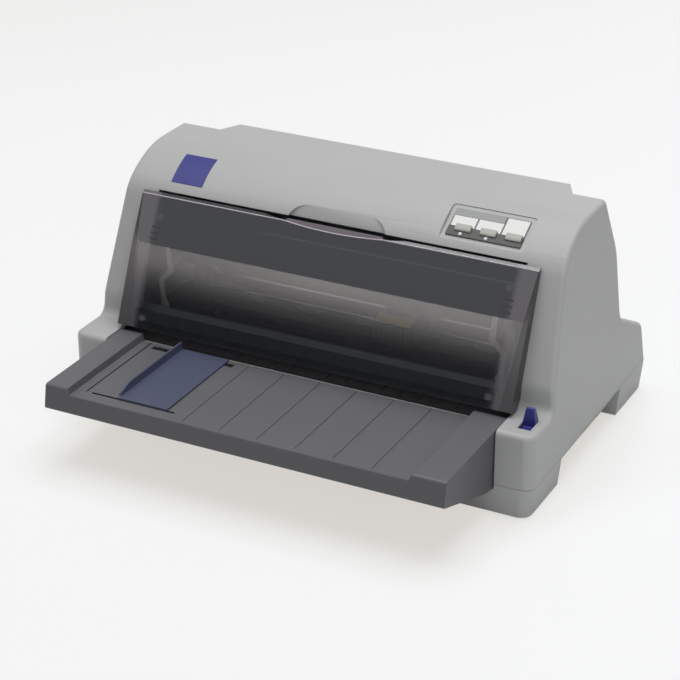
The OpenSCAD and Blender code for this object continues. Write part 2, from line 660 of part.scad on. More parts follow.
function on_face(z) = z < cover_crease[1]
    ? cover_foot[0] + (z - cover_foot[1]) * (cover_crease[0] - cover_foot[0]) / (cover_crease[1] - cover_foot[1])
    : cover_crease[0] + (z - cover_crease[1]) * (cover_top[0] - cover_crease[0]) / (cover_top[1] - cover_crease[1]);

// Hinge ears, one at each end of the front paper guide
ear_r = cover_pin_r + 0.9;
module hinge_bracket(s) color(dark_plastic) from_front() difference() {
    across(s * (ear_x[0] + ear_x[1]) / 2, ear_x[1] - ear_x[0]) {
        translate(cover_pivot) circle(ear_r);
        polygon([[cover_pivot[0], cover_pivot[1] - ear_r], [pedestal_depth - 4.5, cover_pivot[1] - ear_r],
            [pedestal_depth - 4.5, bed_z], [pedestal_depth + 2.5, bed_z],
            [pedestal_depth + 2.5, cover_pivot[1] + ear_r], [cover_pivot[0], cover_pivot[1] + ear_r]]);
    }
    bar(s * ear_x[0] - 10, s * ear_x[0] + 10, cover_pivot, cover_pin_r + running);
}
module hinge_bracket_left() hinge_bracket(-1);
module hinge_bracket_right() hinge_bracket(1);

// ---- front paper guide ----

guide_bar_w = opening_w - 2;
rib_pitch = 18.5;
ribs = floor((guide_bar_w / 2 - 1.5) / rib_pitch);
guide_front = pedestal_depth - 3.9;
module front_paper_guide() color(dark_plastic) from_front() translate([0, guide_front, bed_z]) {
    across(0, guide_bar_w) polygon([[0, 7], [0, 20], [5.4, 24], [8.4, 24], [8.4, 21.8], [6.2, 21.8],
        [2, 18.8], [2, 8.8], [12.4, 8.8], [12.4, 7]]);
    for (s = [-1, 1]) across(s * (guide_bar_w / 2 - 1), 2)
        polygon([[0, 0], [12.4, 0], [12.4, 8], [8.4, 24], [5.4, 24], [0, 20]]);
    for (i = [-ribs:ribs]) across(i * rib_pitch, 1.2) polygon([[-1, 7.6], [-1, 19.4], [1, 19.4], [1, 7.6]]);
}

// Two bent arms that stand behind the cover, one at each end
arm_h = brow_z - bed_z - 47;
module bent_arms() color(white_plastic) from_front() for (s = [-1, 1])
    translate([s * (bay_w / 2 - 26), 68, bed_z]) rotate([90, 0, 0]) linear_extrude(1.6)
        polygon([[s * -4, 0], [s * 4, 0], [s * 4, arm_h * 0.3], [s * 6, arm_h * 0.55], [s * -5, arm_h * 0.71],
            [s * -3, arm_h], [s * -8, arm_h], [s * -11, arm_h * 0.69], [s * 0.5, arm_h * 0.54],
            [s * -1, arm_h * 0.3], [s * -4, arm_h * 0.25]]);

// ---- chassis ----

module chassis_plate() color(zinc) from_front()
    block([-frame_x, 34, chassis_z], [frame_x, frame_back, chassis_z + sheet]);

frame_outline = [[34, chassis_z], [frame_back, chassis_z], [frame_back, 152], [78, 152], [58, 100], [58, 80], [34, 72]];
module side_frame(s) {
    x = s * (frame_x + sheet / 2);
    color(zinc) from_front() {
        difference() {
            across(x, sheet) polygon(outline([for (p = frame_outline) [p[0], p[1], 0]]));
            for (a = bush_axes(s)) bar(x - 5, x + 5, a[0], a[1] + bush_wall);
            bar(x - 5, x + 5, guide_shaft_axis, guide_shaft_r + 0.02);
            if (s < 0) bar(x - 5, x + 5, pinion_axis, 8);
        }
        // the foot flange turns outwards
        difference() {
            block([min(s * (frame_x + sheet), s * (frame_x + 12)), 40, chassis_z],
                [max(s * (frame_x + sheet), s * (frame_x + 12)), frame_back - 6, chassis_z + sheet]);
            for (y = screw_y) translate([s * screw_x, y, chassis_z - 1]) cylinder(r = screw_r + 0.1, h = sheet + 2);
        }
    }
}
module side_frame_left() side_frame(-1);
module side_frame_right() side_frame(1);

bush_wall = 1.5;
function bush_axes(s) = [[platen_axis, shaft_r], [front_feed_axis, shaft_r - 1], [rear_feed_axis, shaft_r - 1],
    [front_pinch_axis, pinch_shaft_r], [rear_pinch_axis, pinch_shaft_r]];
module shaft_bushes() color(white_plastic) from_front()
    for (s = [-1, 1], a = bush_axes(s)) difference() {
        union() {
            bar(s * (frame_x + sheet / 2) - sheet / 2, s * (frame_x + sheet / 2) + sheet / 2, a[0], a[1] + bush_wall);
            bar(s * (frame_x - bush_flange / 2) - bush_flange / 2, s * (frame_x - bush_flange / 2) + bush_flange / 2,
                a[0], a[1] + bush_wall + 1);
        }
        bar(s * frame_x - 10, s * frame_x + 10, a[0], a[1] + running);
    }

screw_x = frame_x + 7;
screw_y = [55, 105, frame_back - 45, frame_back - 15];
screw_r = 1.5;
module frame_screws() color(steel) from_front()
    for (s = [-1, 1], y = screw_y) translate([s * screw_x, y, chassis_z + sheet]) {
        cylinder(r = 2 * screw_r, h = 2);
        translate([0, 0, -sheet]) cylinder(r = screw_r, h = sheet);
    }

// ---- paper path ----

module paper_bed() color(dark_plastic) from_front() difference() {
    block([-frame_x, bay_depth + wall + slip, bed_z - 2.5], [frame_x, deck_y - 46, bed_z]);
    block([-platen_w / 2 - 5, platen_axis[0] - 11, 60], [platen_w / 2 + 5, platen_axis[0] + 11, 90]);
    for (x = roller_x, a = [front_feed_axis, rear_feed_axis])
        block([x - roller_w / 2 - 1, a[0] - 7, 60], [x + roller_w / 2 + 1, a[0] + 7, 90]);
    // notches round the bushes
    for (s = [-1, 1], a = bush_axes(s)) bar(s * frame_x - 2, s * frame_x + 2, a[0], a[1] + bush_wall + 1 + slip);
    // shallow grooves that carry on from the ribs of the front guide
    for (i = [1 - ribs:ribs - 1]) if (abs(i) > 0) block([i * rib_pitch - 0.6, 30, bed_z - 0.8],
        [i * rib_pitch + 0.6, 60, bed_z + 1]);
}

module rear_paper_guide() color(dark_plastic) from_front()
    across(0, 2 * frame_x - 20) polygon([[deck_y - 45.7, bed_z - 2.5], [deck_y - 40, bed_z - 2.5],
        [deck_y - 9, rear_slot_z - 4], [deck_y - 9, rear_slot_z - 1.5], [deck_y - 41, bed_z], [deck_y - 45.7, bed_z]]);

roller_w = 24;
roller_x = [for (i = [-2:2]) i * 0.4 * (frame_x - 50)];

// A shaft along X with rubber rollers on it
module roller_shaft(at, r, rubber_r, x1, x2) {
    color(steel) bar(x1, x2, at, r);
    color(black_rubber) for (x = roller_x) difference() {
        bar(x - roller_w / 2, x + roller_w / 2, at, rubber_r);
        bar(x - roller_w, x + roller_w, at, r);
    }
}

module feed_rollers(at, phase) from_front() {
    color(steel) bar(gear_x, frame_x + sheet, at, shaft_r - 1);
    color(black_rubber) for (x = roller_x) bar(x - roller_w / 2, x + roller_w / 2, at, feed_roller_r);
    color(white_plastic) gear_at(at, feed_teeth, phase, shaft_r - 1.5);
}
module front_feed_rollers() feed_rollers(front_feed_axis, front_feed_phase);
module rear_feed_rollers() feed_rollers(rear_feed_axis, rear_feed_phase);

module pinch_rollers(at, r) from_front() {
    color(steel) bar(-frame_x - sheet, frame_x + sheet, at, pinch_shaft_r);
    color(black_rubber) for (x = roller_x) bar(x - roller_w / 2 + 4, x + roller_w / 2 - 4, at, r);
}
module front_pinch_rollers() pinch_rollers(front_pinch_axis, pinch_front_r);
module rear_pinch_rollers() pinch_rollers(rear_pinch_axis, pinch_rear_r);

platen_w = 2 * (frame_x - 65);
module platen_shaft() color(steel) from_front() bar(gear_x, frame_x + sheet, platen_axis, shaft_r);
module platen_rubber() color(black_rubber) from_front() difference() {
    bar(-platen_w / 2, platen_w / 2, platen_axis, platen_r);
    bar(-platen_w, platen_w, platen_axis, shaft_r);
}

// ---- gears ----

pressure = 20;
backlash = 0.22;
function involute(base_r, a) = base_r * [cos(a) + a * PI / 180 * sin(a), sin(a) - a * PI / 180 * cos(a)];
// Angle of roll at which the involute reaches radius r
function roll(base_r, r) = r <= base_r ? 0 : sqrt(r * r / base_r / base_r - 1) * 180 / PI;
function polar(r, a) = [r * cos(a), r * sin(a)];

// Spur gear about the origin, with a tooth centred on the angle phase
module gear(teeth, phase) {
    pitch_r = gear_module * teeth / 2;
    base_r = pitch_r * cos(pressure);
    tip_r = pitch_r + 0.9 * gear_module;
    root_r = pitch_r - 1.2 * gear_module;
    top = roll(base_r, tip_r);
    at_pitch = involute(base_r, roll(base_r, pitch_r));
    half = (90 - 90 * backlash / (PI * gear_module) * 2) / teeth + atan2(at_pitch[1], at_pitch[0]);
    flank = [for (k = [0:3]) involute(base_r, top * k / 3)];
    polygon([for (i = [0:teeth - 1]) let(c = phase + 360 * i / teeth) each concat(
        [polar(root_r, c - half)],
        [for (p = flank) polar(norm(p), c - half + atan2(p[1], p[0]))],
        [for (k = [3:-1:0]) let(p = flank[k]) polar(norm(p), c + half - atan2(p[1], p[0]))],
        [polar(root_r, c + half)])]);
}
module gear_at(at, teeth, phase, bore_r) difference() {
    translate([gear_x, at[0], at[1]]) rotate([90, 0, 90]) linear_extrude(gear_w) gear(teeth, phase);
    if (bore_r > 0) bar(gear_x - 1, gear_x + gear_w + 1, at, bore_r);
}

// The phase that puts a gear in mesh with its neighbour, which lies at the angle a from it
function meshed(phase, teeth, a, other) = a + 180 - (0.5 - (a - phase) * teeth / 360) * 360 / other;
platen_phase = 0;
front_idler_phase = meshed(platen_phase, platen_teeth, 180 - feed_angle, idler_teeth);
rear_idler_phase = meshed(platen_phase, platen_teeth, feed_angle, idler_teeth);
front_feed_phase = meshed(front_idler_phase, idler_teeth, 180 - feed_angle, feed_teeth);
rear_feed_phase = meshed(rear_idler_phase, idler_teeth, feed_angle, feed_teeth);
pinion_phase = meshed(platen_phase, platen_teeth, -90, pinion_teeth);
idler_pin_r = 2.5;

module platen_gear() color(white_plastic) from_front() gear_at(platen_axis, platen_teeth, platen_phase, shaft_r);
module idler_gear_front() color(white_plastic) from_front()
    gear_at(front_idler_axis, idler_teeth, front_idler_phase, idler_pin_r + running);
module idler_gear_rear() color(white_plastic) from_front()
    gear_at(rear_idler_axis, idler_teeth, rear_idler_phase, idler_pin_r + running);
module idler_pins() color(steel) from_front() for (a = [front_idler_axis, rear_idler_axis]) {
    bar(gear_x - slip - 1, -frame_x - sheet, a, idler_pin_r);
    bar(gear_x - slip - 1, gear_x - slip, a, idler_pin_r + 1.5);
    bar(gear_x + gear_w + slip, -frame_x - sheet, a, idler_pin_r + 1.5);
}

motor_r = 13;
motor_shaft_r = 2;
module feed_motor() color(zinc) from_front() difference() {
    union() {
        bar(-frame_x, -frame_x + 28, pinion_axis, motor_r);
        bar(-frame_x - sheet, -frame_x + 1, pinion_axis, 7);
    }
    bar(-frame_x - 5, -frame_x + 20, pinion_axis, motor_shaft_r + running);
}
module feed_pinion() from_front() {
    color(steel) bar(gear_x, -frame_x + 19, pinion_axis, motor_shaft_r);
    color(gold) gear_at(pinion_axis, pinion_teeth, pinion_phase, 0);
}

// ---- carriage ----

module guide_shaft() color(steel) from_front()
    bar(-frame_x - sheet, frame_x + sheet, guide_shaft_axis, guide_shaft_r);

rail_y = guide_shaft_axis[0] + 18;
rail_w = 2 * (frame_x - 49);
module rear_rail() color(zinc) from_front() {
    z = guide_shaft_z;
    block([-rail_w / 2, rail_y, z + 12], [rail_w / 2, rail_y + sheet, z + 40]);
    block([-rail_w / 2, rail_y - 18, z + 40 - sheet], [rail_w / 2, rail_y + sheet, z + 40]);
    block([-frame_x, rail_y - 18, z + 40 - sheet], [frame_x, rail_y - 3, z + 40]);
}

carriage_w = 48;
module carriage() color(dark_plastic) from_front() {
    g = guide_shaft_axis;
    difference() {
        union() {
            across(carriage_x, carriage_w) polygon([[g[0] - 20, g[1] - 12], [g[0] + 12, g[1] - 12], [g[0] + 12, g[1] + 14],
                [g[0] - 8, g[1] + 14], [g[0] - 20, g[1] + 6]]);
            // fork over the rear rail
            for (y = [[rail_y - slip - 2, rail_y - slip], [rail_y + sheet + slip, rail_y + sheet + slip + 2]])
                block([carriage_x - 14, y[0], g[1] + 9], [carriage_x + 14, y[1], g[1] + 19]);
            block([carriage_x - 14, g[0] + 11, g[1] + 8], [carriage_x + 14, rail_y + sheet + slip + 2, g[1] + 11.6]);
            // clamp round the belt's near run
            for (z = [belt_z - slip - 1.6, belt_z + belt_w + slip])
                block([carriage_x - 10, g[0] + 11, z], [carriage_x + 10, pulley_y - pulley_r + 3, z + 1.6]);
        }
        bar(carriage_x - carriage_w, carriage_x + carriage_w, g, guide_shaft_r + running);
        // the belt's run passes through the clamp
        block([carriage_x - 30, g[0] + 12.5, belt_z - slip], [carriage_x + 30, pulley_y + 5, belt_z + belt_w + slip]);
    }
}

head_w = 38;
module print_head() color([0.3, 0.3, 0.32]) from_front() {
    g = guide_shaft_axis;
    front = g[0] - 52;
    z = bed_z + 9;
    // die-cast body with upright cooling fins on its front
    block([carriage_x - head_w / 2, front + 6, z], [carriage_x + head_w / 2, g[0] - 20, z + 24]);
    for (i = [0:8]) block([carriage_x - head_w / 2 + i * (head_w - 1.6) / 8, front, z + 2],
        [carriage_x - head_w / 2 + i * (head_w - 1.6) / 8 + 1.6, front + 6.5, z + 22]);
    // nose that holds the needles over the platen
    across(carriage_x, 18) polygon([[platen_axis[0] - 9, z + 0.5], [platen_axis[0] + 9, z + 0.5],
        [platen_axis[0] + 4, bed_z + 3.2], [platen_axis[0] - 4, bed_z + 3.2]]);
}
module head_connector() color(gold) from_front() {
    front = guide_shaft_axis[0] - 52;
    block([carriage_x - 17.5, front - 0.5, bed_z + 33], [carriage_x + 17.5, front + 14, bed_z + 36]);
}

// ---- belt drive ----

module carriage_motor() color(zinc) from_front() {
    difference() {
        union() {
            translate([-pulley_x, pulley_y, belt_z + belt_w + 6]) cylinder(r = 17, h = 32);
            block([-frame_x, pulley_y - 17, belt_z + belt_w + 4], [-pulley_x + 17, pulley_y + 16, belt_z + belt_w + 6]);
        }
        translate([-pulley_x, pulley_y, belt_z]) cylinder(r = motor_shaft_r + running, h = 30);
    }
}
// A belt pulley with two flanges, standing on z
module pulley(x, bore_r) translate([x, pulley_y, 0]) difference() {
    union() {
        translate([0, 0, belt_z - slip]) cylinder(r = pulley_r - belt_t / 2 - slip, h = belt_w + 2 * slip);
        for (z = [belt_z - slip - 1.2, belt_z + belt_w + slip])
            translate([0, 0, z]) cylinder(r = pulley_r + 1.5, h = 1.2);
    }
    if (bore_r > 0) translate([0, 0, belt_z - 5]) cylinder(r = bore_r, h = 20);
}
module motor_pulley() color(steel) from_front() {
    pulley(-pulley_x, 0);
    translate([-pulley_x, pulley_y, belt_z]) cylinder(r = motor_shaft_r, h = 28);
}
module idler_pulley() color(white_plastic) from_front() pulley(pulley_x, idler_pin_r + running);
module pulley_bracket() color(zinc) from_front() {
    top = belt_z + belt_w + slip + 1.2 + slip;
    block([pulley_x - 10, pulley_y - 10, top], [frame_x, pulley_y + 10, top + sheet]);
    translate([pulley_x, pulley_y, belt_z - 3]) cylinder(r = idler_pin_r, h = top - belt_z + 3);
    translate([pulley_x, pulley_y, belt_z - 3]) cylinder(r = idler_pin_r + 1.5, h = 3 - slip - 1.2 - slip);
}
module timing_belt() color(black_rubber) from_front() translate([0, pulley_y, belt_z]) linear_extrude(belt_w)
    difference() {
        belt_outline(pulley_r + belt_t / 2);
        belt_outline(pulley_r - belt_t / 2);
    }
module belt_outline(r) {
    square([2 * pulley_x, 2 * r], center = true);
    for (s = [-1, 1]) translate([s * pulley_x, 0]) circle(r);
}

// ---- ribbon ----

cartridge_w = 2 * (frame_x - 29);
cartridge_h = 16;
arm_x = [cartridge_w / 2 - 24, cartridge_w / 2 - 10];
knob_at = [-cartridge_w / 2 + 56, 131];
module ribbon_cartridge() color(dark_plastic) from_front() difference() {
    union() {
        translate([0, 141, cartridge_z]) linear_extrude(cartridge_h) round_rect(cartridge_w, 46, 4);
        for (s = [-1, 1]) across(s * (arm_x[0] + arm_x[1]) / 2, arm_x[1] - arm_x[0])
            polygon(outline([[platen_axis[0] - 8, bed_z + 2, 1], [platen_axis[0] + 8, bed_z + 2, 1],
                [platen_axis[0] + 12, cartridge_z + 2, 0], [platen_axis[0] + 12, cartridge_z + cartridge_h, 0],
                [platen_axis[0] - 2, cartridge_z + cartridge_h, 6]]));
    }
    translate([knob_at[0], knob_at[1], cartridge_z + 4]) cylinder(r = 3 + running, h = 20);
}
module ribbon() color(black_rubber) from_front()
    block([-arm_x[0], platen_axis[0] - 6.5, bed_z + 2.3], [arm_x[0], platen_axis[0] + 6.5, bed_z + 2.7]);
module ribbon_knob() color(lever_blue) from_front() translate([knob_at[0], knob_at[1], 0]) {
    translate([0, 0, cartridge_z + 4 + slip]) cylinder(r = 3, h = cartridge_h);
    difference() {
        translate([0, 0, cartridge_z + cartridge_h + slip]) cylinder(r = 10, h = 9);
        for (i = [0:11]) rotate(30 * i) translate([10.6, 0, cartridge_z + cartridge_h + 1]) cylinder(r = 1.4, h = 10);
    }
}
module cartridge_brackets() color(zinc) from_front() for (s = [-1, 1]) {
    block([min(s * (cartridge_w / 2 - 6), s * frame_x), 126, cartridge_z - sheet],
        [max(s * (cartridge_w / 2 - 6), s * frame_x), 158, cartridge_z]);
}

// ---- electrics ----

inlet_size = [28, 20];
parallel_size = [72, 17];
usb_size = [13, 12];

module main_board() from_front() {
    a = [usb_at[0] - 70, case_depth - 82];
    b = [parallel_at[0] + 90, case_depth - 28];
    color(board_green) block([a[0], a[1], 16], [b[0], b[1], 17.6]);
    color(dark_plastic) for (x = [40, 100, 160]) block([a[0] + x - 14, a[1] + 14, 17.6], [a[0] + x + 14, b[1] - 20, 20]);
    color(zinc) for (x = [a[0] + 10, b[0] - 10], y = [a[1] + 5, b[1] - 5])
        translate([x, y, chassis_z]) cylinder(r = 3, h = 16 - chassis_z);
}
module power_board() from_front() {
    color(board_green) block([-40, 130, 18], [60, 195, 19.6]);
    color(zinc) block([-30, 142, 19.6], [12, 182, 54]);
    color(gold) block([-26, 138, 25], [8, 186, 48]);
    color(dark_plastic) for (x = [26, 46], y = [146, 174]) translate([x, y, 19.6]) cylinder(r = 8, h = 26);
    color(zinc) for (x = [-34, 54], y = [135, 190]) translate([x, y, chassis_z + sheet]) cylinder(r = 3, h = 18 - chassis_z - sheet);
}

// A socket body behind the wall, with a flange that seats on it
module socket_body(at, size, depth, flange) {
    block([at[0] - size[0] / 2, socket_wall_y - depth, at[1] - size[1] / 2],
        [at[0] + size[0] / 2, socket_wall_y, at[1] + size[1] / 2]);
    if (flange > 0)
        block([at[0] - size[0] / 2 - flange, socket_wall_y, at[1] - size[1] / 2 - 1],
            [at[0] + size[0] / 2 + flange, socket_wall_y + 2, at[1] + size[1] / 2 + 1]);
}
module power_inlet() from_front() {
    color(dark_plastic) difference() {
        socket_body(inlet_at, inlet_size, 22, 8);
        translate([inlet_at[0], socket_wall_y + 3, inlet_at[1]]) rotate([90, 0, 0]) linear_extrude(17)
            polygon([[-12, -8], [12, -8], [12, 4], [8, 8], [-8, 8], [-12, 4]]);
        for (s = [-1, 1]) translate([inlet_at[0] + s * 18, socket_wall_y + 3, inlet_at[1]])
            rotate([90, 0, 0]) cylinder(r = 1.7, h = 4);
    }
    color(steel) for (p = [[-7, -2], [7, -2], [0, 3]])
        block([inlet_at[0] + p[0] - 1, socket_wall_y - 15, inlet_at[1] + p[1] - 2],
            [inlet_at[0] + p[0] + 1, socket_wall_y - 5, inlet_at[1] + p[1] + 2]);
}
module parallel_socket() from_front() {
    color(steel) difference() {
        union() {
            socket_body(parallel_at, parallel_size, 12, 0);
            block([parallel_at[0] - 33, socket_wall_y, parallel_at[1] - 6.5],
                [parallel_at[0] + 33, socket_wall_y + 8, parallel_at[1] + 6.5]);
        }
        block([parallel_at[0] - 31, socket_wall_y - 2, parallel_at[1] - 5],
            [parallel_at[0] + 31, socket_wall_y + 9, parallel_at[1] + 5]);
    }
    color(dark_plastic) block([parallel_at[0] - 27, socket_wall_y - 2, parallel_at[1] - 1.5],
        [parallel_at[0] + 27, socket_wall_y + 6, parallel_at[1] + 1.5]);
}
module usb_socket() from_front() {
    color(steel) difference() {
        socket_body(usb_at, usb_size, 16, 0);
        block([usb_at[0] - 4.5, socket_wall_y - 9, usb_at[1] - 4], [usb_at[0] + 4.5, socket_wall_y + 1, usb_at[1] + 4]);
    }
    color(white_plastic) block([usb_at[0] - 2.8, socket_wall_y - 9, usb_at[1] - 1.6],
        [usb_at[0] + 2.8, socket_wall_y - 1, usb_at[1] + 1.6]);
}

// Mains switch, low on the left side
rocker_tilt = 9;
rocker_depth = 7.6;
switch_face = -case_w / 2;
module switch_frame() color(dark_plastic) from_front() difference() {
    union() {
        block([switch_face, switch_at[0] - switch_size[0] / 2, switch_at[1] - switch_size[1] / 2],
            [switch_face + 16, switch_at[0] + switch_size[0] / 2, switch_at[1] + switch_size[1] / 2]);
        block([switch_face + wall + slip, switch_at[0] - switch_size[0] / 2 - 2, switch_at[1] - switch_size[1] / 2],
            [switch_face + wall + 2, switch_at[0] + switch_size[0] / 2 + 2, switch_at[1] + switch_size[1] / 2]);
    }
    block([switch_face - 1, switch_at[0] - switch_size[0] / 2 + 1.5, switch_at[1] - switch_size[1] / 2 + 1.5],
        [switch_face + 13, switch_at[0] + switch_size[0] / 2 - 1.5, switch_at[1] + switch_size[1] / 2 - 1.5]);
    translate([switch_face + rocker_depth, switch_at[0], switch_at[1] - switch_size[1] / 2 - 3])
        cylinder(r = 1.5 + running, h = switch_size[1] + 6);
}
module power_switch() color(black_rubber) from_front() translate([switch_face + rocker_depth, switch_at[0], 0]) {
    translate([0, 0, switch_at[1] - switch_size[1] / 2 + 1.5 + slip]) linear_extrude(switch_size[1] - 3 - 2 * slip)
        rotate(rocker_tilt) polygon([[3, -4], [3, 4], [-4.5, 8.6], [-6, 8.2], [-4.6, 0], [-6, -8.2], [-4.5, -8.6]]);
    translate([0, 0, switch_at[1] - switch_size[1] / 2 + 0.3]) cylinder(r = 1.5, h = switch_size[1] - 0.6);
}

lower_case();
upper_case();
rubber_feet();
front_tray();
edge_guide();
front_cover();
hinge_bracket_left();
hinge_bracket_right();
front_paper_guide();
badge_plate();
control_panel();
panel_board();
button_feed();
button_load();
button_pause();
release_lever();
lever_bracket();
power_switch();
switch_frame();
chassis_plate();
side_frame_left();
side_frame_right();
frame_screws();
bent_arms();
paper_bed();
rear_paper_guide();
platen_shaft();
platen_rubber();
platen_gear();
shaft_bushes();
front_feed_rollers();
rear_feed_rollers();
front_pinch_rollers();
rear_pinch_rollers();
idler_gear_front();
idler_gear_rear();
idler_pins();
feed_motor();
feed_pinion();
guide_shaft();
rear_rail();
carriage();
print_head();
head_connector();
carriage_motor();
motor_pulley();
idler_pulley();
pulley_bracket();
timing_belt();
ribbon_cartridge();
ribbon();
ribbon_knob();
cartridge_brackets();
main_board();
power_board();
power_inlet();
parallel_socket();
usb_socket();
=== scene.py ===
import json
import math
import bmesh
import bpy
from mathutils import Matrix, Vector


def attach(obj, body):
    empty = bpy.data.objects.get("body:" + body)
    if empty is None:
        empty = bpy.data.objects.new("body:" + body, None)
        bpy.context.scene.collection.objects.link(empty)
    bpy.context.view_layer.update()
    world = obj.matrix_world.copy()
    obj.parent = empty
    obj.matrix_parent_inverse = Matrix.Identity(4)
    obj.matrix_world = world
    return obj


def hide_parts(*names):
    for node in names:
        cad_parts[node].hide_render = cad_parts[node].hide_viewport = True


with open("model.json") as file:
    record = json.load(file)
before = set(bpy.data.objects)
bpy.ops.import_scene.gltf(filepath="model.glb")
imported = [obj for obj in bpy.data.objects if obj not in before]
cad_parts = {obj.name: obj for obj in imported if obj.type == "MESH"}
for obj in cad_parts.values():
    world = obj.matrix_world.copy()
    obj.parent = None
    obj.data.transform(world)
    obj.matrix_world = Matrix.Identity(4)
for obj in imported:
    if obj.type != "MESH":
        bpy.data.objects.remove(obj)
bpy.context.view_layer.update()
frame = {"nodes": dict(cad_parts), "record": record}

frameShift = 92  # mm from the pedestal fronts back to the middle of the whole printer


def mm(x, y, z):  # a point in mm, with y counted from the pedestal fronts, as metres in the frame
    return Vector((x / 1000, (y - frameShift) / 1000, z / 1000))


# The camera, with its place in mm and its angles in degrees
cameraView = {"x": 812.3, "y": -1495.5, "z": 954.1, "turn": 27.05, "tilt": 25.98, "lens": 112.3,
              "sensor": 36, "near": 0.05, "far": 60}
camera = bpy.data.objects.new("camera", bpy.data.cameras.new("camera"))
bpy.context.scene.collection.objects.link(camera)
camera.data.lens = cameraView["lens"]
camera.data.sensor_width = cameraView["sensor"]
camera.location = mm(cameraView["x"], cameraView["y"], cameraView["z"])
camera.rotation_euler = (math.radians(90 - cameraView["tilt"]), 0, math.radians(cameraView["turn"]))
camera.data.clip_start = cameraView["near"]
camera.data.clip_end = cameraView["far"]
bpy.context.scene.camera = camera
print("camera placed")


class Signal:  # one value inside a material, so that a pattern reads as a plain sum
    def __init__(self, finish, socket):
        self.finish = finish
        self.socket = socket

    def __add__(self, other):
        return self.finish.math("ADD", self, other)

    def __radd__(self, other):
        return self.finish.math("ADD", other, self)

    def __sub__(self, other):
        return self.finish.math("SUBTRACT", self, other)

    def __rsub__(self, other):
        return self.finish.math("SUBTRACT", other, self)

    def __mul__(self, other):
        return self.finish.math("MULTIPLY", self, other)

    def __truediv__(self, other):
        return self.finish.math("DIVIDE", self, other)

    def __gt__(self, other):
        return self.finish.math("GREATER_THAN", self, other)

    def __lt__(self, other):
        return self.finish.math("LESS_THAN", self, other)


class Finish:  # a material being put together
    def __init__(self, name, colour, roughness, metallic=0.0):
        self.material = bpy.data.materials.new(name)
        self.material.use_nodes = True
        self.tree = self.material.node_tree
        self.shader = self.tree.nodes["Principled BSDF"]
        self.feed("Base Color", colour)
        self.feed("Roughness", roughness)
        self.feed("Metallic", metallic)

    def node(self, kind, settings={}, sockets={}, output=0):
        made = self.tree.nodes.new(kind)
        for key, value in settings.items():
            if key == "stops":
                while len(made.color_ramp.elements) < len(value):
                    made.color_ramp.elements.new(0.5)
                for element, (position, colour) in zip(made.color_ramp.elements, value):
                    element.position = position
                    element.color = (*colour, 1)
            else:
                setattr(made, key, value)
        for key, value in sockets.items():
            self.join(made.inputs[key], value)
        return Signal(self, made.outputs[output])

    def join(self, socket, value):
        if isinstance(value, Signal):
            self.tree.links.new(value.socket, socket)
        elif isinstance(value, (tuple, list)) and socket.type == "RGBA":
            socket.default_value = (*value[:3], 1)
        else:
            socket.default_value = value

    def feed(self, name, value):
        self.join(self.shader.inputs[name], value)

    def fix(self, name, value):  # the same all over the surface
        self.shader.inputs[name].default_value = value

    def math(self, operation, a, b=0.0):
        return self.node("ShaderNodeMath", {"operation": operation}, {0: a, 1: b})

    def painted(self, name):  # a number painted on the piece's own faces
        return self.node("ShaderNodeAttribute", {"attribute_name": name}, output="Fac")

    def place(self):  # in metres, from the piece's own origin
        return self.node("ShaderNodeTexCoord", output="Object")

    def axes(self):
        parts = self.tree.nodes.new("ShaderNodeSeparateXYZ")
        self.tree.links.new(self.place().socket, parts.inputs[0])
        return [Signal(self, out) for out in parts.outputs]

    def noise(self, scale, detail=2.0, stretch=None):
        at = self.place()
        if stretch:
            at = self.node("ShaderNodeMapping", {}, {"Vector": at, "Scale": stretch})
        return self.node("ShaderNodeTexNoise", {}, {"Vector": at, "Scale": scale, "Detail": detail})

    def mix(self, amount, a, b):  # from colour a to colour b
        return self.node("ShaderNodeMix", {"data_type": "RGBA"}, {0: amount, 6: a, 7: b}, 2)

    def clouded(self, pattern, colour, low, high):  # one colour, darker and lighter with a pattern
        return self.mix(pattern, shade(colour, low), shade(colour, high))

    def bump(self, height, strength, distance):
        self.feed("Normal", self.node("ShaderNodeBump", {}, {
            "Height": height, "Strength": strength, "Distance": distance}))


def shade(colour, factor):
    return tuple(part * factor for part in colour[:3])


plasticLook = {"cloud": 14, "cloudDetail": 3, "cloudAmount": 0.035, "grain": 1500, "grainDepth": 0.00004,
               "roughnessSpread": 0.12, "paintedShadeTone": 0.12}


def mouldedPlastic(name, colour, roughness, grainStrength=0.25, paintedShade=None):
    made = Finish(name, colour, roughness)
    cloud = made.noise(plasticLook["cloud"], plasticLook["cloudDetail"])
    base = made.clouded(cloud, colour, 1 - plasticLook["cloudAmount"], 1 + plasticLook["cloudAmount"])
    # painted shade: where the given mask says, the colour goes darker
    if paintedShade:
        base = made.mix(paintedShade(made), base, shade(colour, plasticLook["paintedShadeTone"]))
    made.feed("Base Color", base)
    grain = made.noise(plasticLook["grain"])
    made.feed("Roughness", roughness + (grain - 0.5) * plasticLook["roughnessSpread"])
    made.bump(grain, grainStrength, plasticLook["grainDepth"])
    return made.material


sheetLook = {"patch": 40, "patchDark": 0.86, "patchLight": 1.08, "cellRoughness": 0.12, "grain": 900,
             "grainStrength": 0.12, "grainDepth": 0.00003}


def sheetMetal(name, colour, roughness, spangle=90):
    made = Finish(name, colour, roughness, 1.0)
    cells = made.node("ShaderNodeTexVoronoi", {}, {"Vector": made.place(), "Scale": spangle})
    patch = made.noise(sheetLook["patch"])
    made.feed("Base Color", made.clouded(patch, colour, sheetLook["patchDark"], sheetLook["patchLight"]))
    made.feed("Roughness", roughness + cells * sheetLook["cellRoughness"])
    made.bump(made.noise(sheetLook["grain"]), sheetLook["grainStrength"], sheetLook["grainDepth"])
    return made.material


shaftLook = {"rings": 60, "ringDetail": 3, "stretch": (90, 1, 1), "roughnessSpread": 0.2, "ringDark": 0.92,
             "ringLight": 1.05, "ringStrength": 0.06, "ringDepth": 0.00002}


